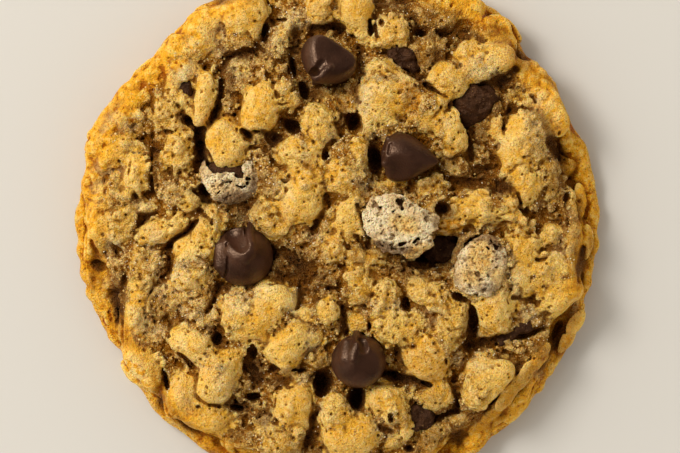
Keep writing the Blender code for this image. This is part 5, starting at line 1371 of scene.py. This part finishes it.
def baked_oat_dough():
    """Butter dough with rolled oats, baked: dry gold tops with open pores, caramel creases that
    shine a little, and a deeper orange at the thin edge. Hollows, creases and pores are darkened
    with painted shade, and raised grains lightened with painted highlights."""
    f = Finish("baked_oat_dough")
    cavity_for_painted_light, shut_in, depth = f.layer("cavity_for_painted_light"), f.layer("shut_in"), f.layer("depth")
    tone, smooth, edge = f.layer("tone"), f.layer("smooth"), f.layer("edge")
    stain_and_shade, pale = f.layer("stain_and_shade"), f.layer("pale")
    patch, fleck = f.noise(4.0), f.noise(1.1, 3.0, 0.6)
    grain, dust = f.noise(0.5, 2.0, 0.6), f.noise(0.3, 1.0)

    # tops: gold, lighter and deeper in patches as wide as a flake
    gold = f.blend(f.ramp(patch, 0.35, 0.65), "#E8AC34", "#F2C662")
    gold = f.blend(f.ramp(f.plus(tone, f.times(patch, 0.7)), 0.35, 1.1), gold, "#CE8C1A")
    gold = f.over(gold, "#F6DC98", f.plus(fleck, f.times(dust, 0.4)), 0.68, 0.9, 0.4)
    # ground between them: caramel, with light grains
    mixed = f.plus(f.times(fleck, 0.5), f.times(grain, 0.5))
    ground = f.blend(f.ramp(mixed, 0.4, 0.6), "#92560A", "#DCA242")
    ground = f.over(ground, "#A86C1C", patch, 0.6, 0.35, 0.4)
    gold = f.blend(f.ramp(f.plus(smooth, f.times(fleck, 0.4)), 0.35, 0.85), ground, gold)
    # painted highlight on raised grains, and painted shade in the dents round them
    gold = f.over(gold, "#F4D488", cavity_for_painted_light, -0.05, -0.3, 0.55)
    gold = f.over(gold, "#8F560C", cavity_for_painted_light, 0.0, 0.22, 0.85)
    # edge: more orange, with darker flecks, painted shade in its hollows and painted highlight on its raised
    # bits
    rim = f.ramp(f.plus(edge, f.times(patch, 2.0)), -5.0, -1.8)
    flecks_and_painted_light = f.plus(f.times(fleck, 0.6), f.times(patch, 0.4), f.times(cavity_for_painted_light, -0.5))
    orange = f.blend(f.ramp(flecks_and_painted_light, 0.36, 0.54), "#AA5800", "#F4AE22")
    orange = f.over(orange, "#FFD068", flecks_and_painted_light, 0.55, 0.66, 0.8)
    gold = f.blend(f.times(rim, 0.94), gold, orange)
    # painted pale: a thin skin where the batter film dried, and painted light
    film = f.times(pale, f.ramp(f.noise(1.6, 2.0), 0.38, 0.52))
    gold = f.blend(f.times(film, 0.85), gold, f.blend(rim, "#F4D898", "#FFDC8A"))
    # ground that sugar and melted chocolate turned brown, and painted shade in the same brown
    open_ground = f.calc("MAXIMUM", f.ramp(smooth, 0.9, 0.4), f.times(rim, 0.7))
    soaked_and_shaded = f.times(f.ramp(f.plus(stain_and_shade, f.times(fleck, 0.5)), 0.35, 0.9), open_ground)
    gold = f.blend(f.times(soaked_and_shaded, 0.75), gold, f.blend(rim, "#6E4416", "#9A5808"))
    # open pores, 0.2 mm across and about one in three cells of 0.8 mm, painted darker as painted shade
    near, chance = f.cells(0.8)
    pore = f.times(f.ramp(near, 0.26, 0.12), f.ramp(chance, 0.6, 0.7))
    color = f.blend(f.times(pore, 0.6), gold, "#8A5008")
    # pinholes painted darker as painted shade, drawn 0.2 mm wide because real ones are too fine to show
    tiny, tiny_chance = f.cells(0.5)
    pinhole = f.times(f.ramp(tiny, 0.36, 0.16), f.ramp(tiny_chance, 0.5, 0.56))
    color = f.blend(f.times(pinhole, 0.5), color, "#A0640E")
    # painted shade in the creases between the finest folds, drawn 0.15 mm wide because real ones are too
    # fine to show, and light grains between them
    fold = f.calc("ABSOLUTE", f.plus(f.noise(1.0, 1.0), -0.5), 0.0)
    plain = f.calc("MAXIMUM", smooth, rim)
    crease = f.times(f.ramp(fold, 0.05, 0.0), f.calc("SUBTRACT", 1.0, f.times(plain, 0.85)))
    color = f.blend(f.times(crease, 0.75), color, "#7C480C")
    light = f.calc("SUBTRACT", 0.75, f.plus(f.times(plain, 0.45), f.times(stain_and_shade, 0.5)))
    color = f.over(color, f.blend(rim, "#F8D68C", "#FFCC62"), grain, 0.59, 0.69, light)
    # single grains of meal, drawn 0.3 mm wide because real ones are too fine to show
    open_grain = f.calc("SUBTRACT", 0.42, f.times(plain, 0.36))
    color = f.over(color, "#844C08", dust, 0.44, 0.32, open_grain)
    color = f.over(color, f.blend(rim, "#FAD88C", "#FFD070"), dust, 0.58, 0.7, open_grain)
    # painted shade in hollows and low places, caramel then dark brown, darkest where stained
    uneven = f.times(f.plus(fleck, -0.5), 0.5)
    deep = f.plus(shut_in, f.times(depth, 0.12), uneven, f.times(stain_and_shade, 0.35))
    color = f.over(color, "#8C5206", deep, 0.15, 0.6, 0.85)
    inland = f.calc("SUBTRACT", 1.0, f.times(rim, 0.6))
    color = f.over(color, "#6A3C0E", deep, 0.5, 1.1, inland)
    color = f.over(color, "#402412", deep, 0.1, 0.5, f.times(stain_and_shade, 0.8))

    # dry on the tops, glazed with sugar lower down
    dry = f.calc("MAXIMUM", smooth, f.times(stain_and_shade, 0.7))
    rough = f.plus(0.22, f.times(dry, 0.32), f.times(grain, 0.1))
    raised = f.plus(f.times(grain, 0.36), f.times(fleck, 0.3), f.times(dust, 0.24))
    raised = f.times(raised, f.calc("SUBTRACT", 2.5, smooth))
    sunk = f.plus(f.times(pore, 0.15), f.times(pinhole, 0.1), f.times(crease, 0.2))
    relief = f.calc("SUBTRACT", raised, sunk)
    return f.shade(
        color, rough, f.bump(relief), IOR=1.46, Specular_IOR_Level=0.36, Specular_Tint=linear("#FFDEA6"),
        Subsurface_Weight=0.42, Subsurface_Radius=(1.0, 0.55, 0.16), Subsurface_Scale=0.7 * MM,
    )


def dried_film():
    """The thin skin of dough that rose over a chip and dried: cream and dusty, lighter on its raised
    bits with painted highlight, brown in its pits, partly painted shade, and in places as gold as the dough."""
    f = Finish("dried_dough_film")
    proud, low, gold = f.layer("proud"), f.layer("low"), f.layer("gold")
    patch, fleck, grain = f.noise(2.6), f.noise(0.9, 3.0, 0.6), f.noise(0.4, 2.0, 0.6)
    cream = f.blend(f.ramp(patch, 0.4, 0.6), "#E2C28C", "#F8E2B2")
    yellow = f.blend(f.ramp(fleck, 0.4, 0.6), "#E0AC56", "#F0CC80")
    cream = f.blend(f.ramp(f.plus(gold, f.times(fleck, 0.6)), 0.45, 1.0), cream, yellow)
    # painted highlight on the raised bits, and pits painted brown, partly painted shade
    cream = f.over(cream, "#F6E6C2", proud, -0.2, -0.9, 0.5)
    cream = f.over(cream, "#7A5226", proud, 0.2, 1.2, 0.85)
    cream = f.over(cream, "#8A6030", grain, 0.47, 0.36, 0.8)
    # chocolate showing brown through the film, and painted shade at its borders
    brown = f.plus(f.layer("brown"), f.times(fleck, 0.5))
    cream = f.over(cream, "#6A4626", brown, 0.4, 0.95, 0.8)
    side = f.plus(low, f.times(fleck, 0.8))
    cream = f.over(cream, "#B08650", side, 0.6, 1.2, 0.7)
    color = f.over(cream, "#4E3220", side, 1.1, 1.6, 0.85)
    relief = f.plus(f.times(grain, 0.8), f.times(fleck, 0.4))
    return f.shade(
        color, 0.6, f.bump(relief), IOR=1.45, Specular_IOR_Level=0.28,
        Subsurface_Weight=0.3, Subsurface_Radius=(1.0, 0.5, 0.2), Subsurface_Scale=0.5 * MM,
    )


def crumb_grains():
    """Crumbs of oat and dough: pale gold to caramel, each a little different, half dry."""
    f = Finish("crumb_grains")
    shade = f.layer("shade")
    color = f.blend(f.ramp(shade, 0.0, 0.45), "#A8772A", "#D8A852")
    color = f.blend(f.ramp(shade, 0.5, 0.95), color, "#EAC67C")
    grain = f.noise(0.3, 2.0)
    color = f.over(color, "#A87830", grain, 0.5, 0.35, 0.4)
    return f.shade(
        color, 0.42, f.bump(f.times(grain, 0.1)), IOR=1.46,
        Subsurface_Weight=0.2, Subsurface_Radius=(1.0, 0.6, 0.3), Subsurface_Scale=0.3 * MM,
    )


def sugar_grains():
    """Melted and set sugar: small glassy amber beads that catch the light."""
    f = Finish("sugar_grains")
    color = f.blend(f.ramp(f.layer("shade"), 0.1, 0.9), "#C09040", "#F6E8C8")
    return f.shade(color, 0.2, IOR=1.5, Specular_Tint=linear("#FFE0A0"))


def dark_chocolate():
    """Semi-sweet chocolate, moulded and once warmed: dark brown with a soft waxy sheen and a
    very faint dusty bloom."""
    f = Finish("dark_chocolate")
    bloom, dust = f.noise(3.5, 3.0), f.noise(0.3, 2.0)
    color = f.blend(f.ramp(bloom, 0.3, 0.7), "#28140D", "#402418")
    rough = f.plus(0.35, f.times(bloom, 0.12))
    return f.shade(
        color, rough, f.bump(f.times(dust, 0.1)),
        IOR=1.56, Specular_IOR_Level=1.0, Specular_Tint=linear("#FCD0AC"),
    )


def melted_chocolate():
    """Chocolate that ran into the crumb and set there: dull, grainy, nearly black brown, with a
    few crumbs stuck in it."""
    f = Finish("melted_chocolate")
    patch, grain = f.noise(1.4, 3.0, 0.6), f.noise(0.45, 2.0, 0.6)
    color = f.blend(f.ramp(patch, 0.35, 0.65), "#2E180C", "#462A18")
    color = f.over(color, "#8A6438", grain, 0.64, 0.74, 0.7)
    relief = f.plus(f.times(grain, 0.4), f.times(patch, 0.4))
    return f.shade(color, 0.5, f.bump(relief), IOR=1.45, Specular_Tint=linear("#E8BC98"))


def matt_tabletop():
    """Warm white painted board: plain and matt, so that only the soft shadow shows on it."""
    f = Finish("matt_tabletop")
    return f.shade("#D5D0C7", 0.9, IOR=1.3)


# ---- stage -------------------------------------------------------------------------------------------
VIEW_WIDTH = 116.4        # mm of tabletop from one side of the view to the other
VIEW_MIDDLE = (0.34, 0.09)
CAMERA_HEIGHT = 1500.0
VIEW_HEIGHT = 4.0         # height at which the view is that wide
SENSOR = 36.0
TABLETOP_HALF = 3.0       # metres
TABLETOP_GAP = 0.0002     # metres between the tabletop and the frame


def add_tabletop(material):
    """The plain surface that the cookie lies on."""
    half = TABLETOP_HALF
    mesh = bpy.data.meshes.new("tabletop")
    corners = [(-half, -half, 0.0), (half, -half, 0.0), (half, half, 0.0), (-half, half, 0.0)]
    mesh.from_pydata(corners, [], [(0, 1, 2, 3)])
    mesh.materials.append(material)
    tabletop = bpy.data.objects.new("tabletop", mesh)
    bpy.context.collection.objects.link(tabletop)
    tabletop.location.z = cad_low.z - TABLETOP_GAP


def add_lamp(name, direction, distance, size, power, color):
    """A square soft light that looks at the cookie from a direction (azimuth, height)."""
    lamp = bpy.data.lights.new(name, "AREA")
    lamp.shape = "SQUARE"
    lamp.size = size
    lamp.energy = power
    lamp.color = linear(color)[:3]
    item = bpy.data.objects.new(name, lamp)
    bpy.context.collection.objects.link(item)
    azimuth, height = (math.radians(a) for a in direction)
    out = math.cos(height)
    way = Vector((math.cos(azimuth) * out, math.sin(azimuth) * out, math.sin(height)))
    item.location = way * distance
    item.rotation_euler = way.to_track_quat("Z", "Y").to_euler()
    item.visible_camera = False


def light_stage():
    """A window at the upper left, its bright middle inside its wide soft edge, in a pale room."""
    add_lamp("window_light", (146, 44), 1.4, 0.5, 12.0, "#FFFCF8")
    add_lamp("wide_window_light", (150, 40), 1.4, 1.4, 7.0, "#FFFCF8")
    world = bpy.data.worlds.new("soft_room")
    world.use_nodes = True
    tree = world.node_tree
    way = add_node(tree, "ShaderNodeTexCoord").outputs["Generated"]
    height = add_node(tree, "ShaderNodeSeparateXYZ", None, {0: way}).outputs["Z"]
    # pale walls all round, under a ceiling that gets little light
    settings = {"From Min": 0.1, "From Max": 0.9, "To Min": 1.3, "To Max": 0.3}
    strength = add_node(tree, "ShaderNodeMapRange", settings, {"Value": height}).outputs["Result"]
    background = tree.nodes["Background"]
    background.inputs[0].default_value = linear("#F6F2EA")
    tree.links.new(strength, background.inputs[1])
    world.cycles_visibility.glossy = False
    bpy.context.scene.world = world


def place_camera():
    """The camera looks straight down."""
    camera = bpy.data.cameras.new("camera")
    camera.sensor_width = SENSOR
    camera.lens = SENSOR * (CAMERA_HEIGHT - VIEW_HEIGHT) / VIEW_WIDTH
    camera.clip_end = 10.0
    item = bpy.data.objects.new("camera", camera)
    item.location = Vector((*VIEW_MIDDLE, CAMERA_HEIGHT)) * MM
    bpy.context.collection.objects.link(item)
    bpy.context.scene.camera = item
    bpy.context.scene.view_settings.view_transform = "Standard"


def main():
    chocolate, melted, film = dark_chocolate(), melted_chocolate(), dried_film()
    ground = Dough().make(baked_oat_dough())[-1]
    scatter_grains("crumb_grains", ground, (0.14, 0.30), -0.1, crumb_grains(), 61)
    scatter_grains("sugar_grains", ground, (0.08, 0.16), 0.3, sugar_grains(), 62)
    for name in WHOLE_CHIPS:
        make_whole_chip(name, chocolate)
    for name in LUMP_CHIPS:
        make_lump_chip(name, melted)
    for name in FILMS:
        make_film(name, film)
    add_tabletop(matt_tabletop())
    light_stage()
    place_camera()


main()
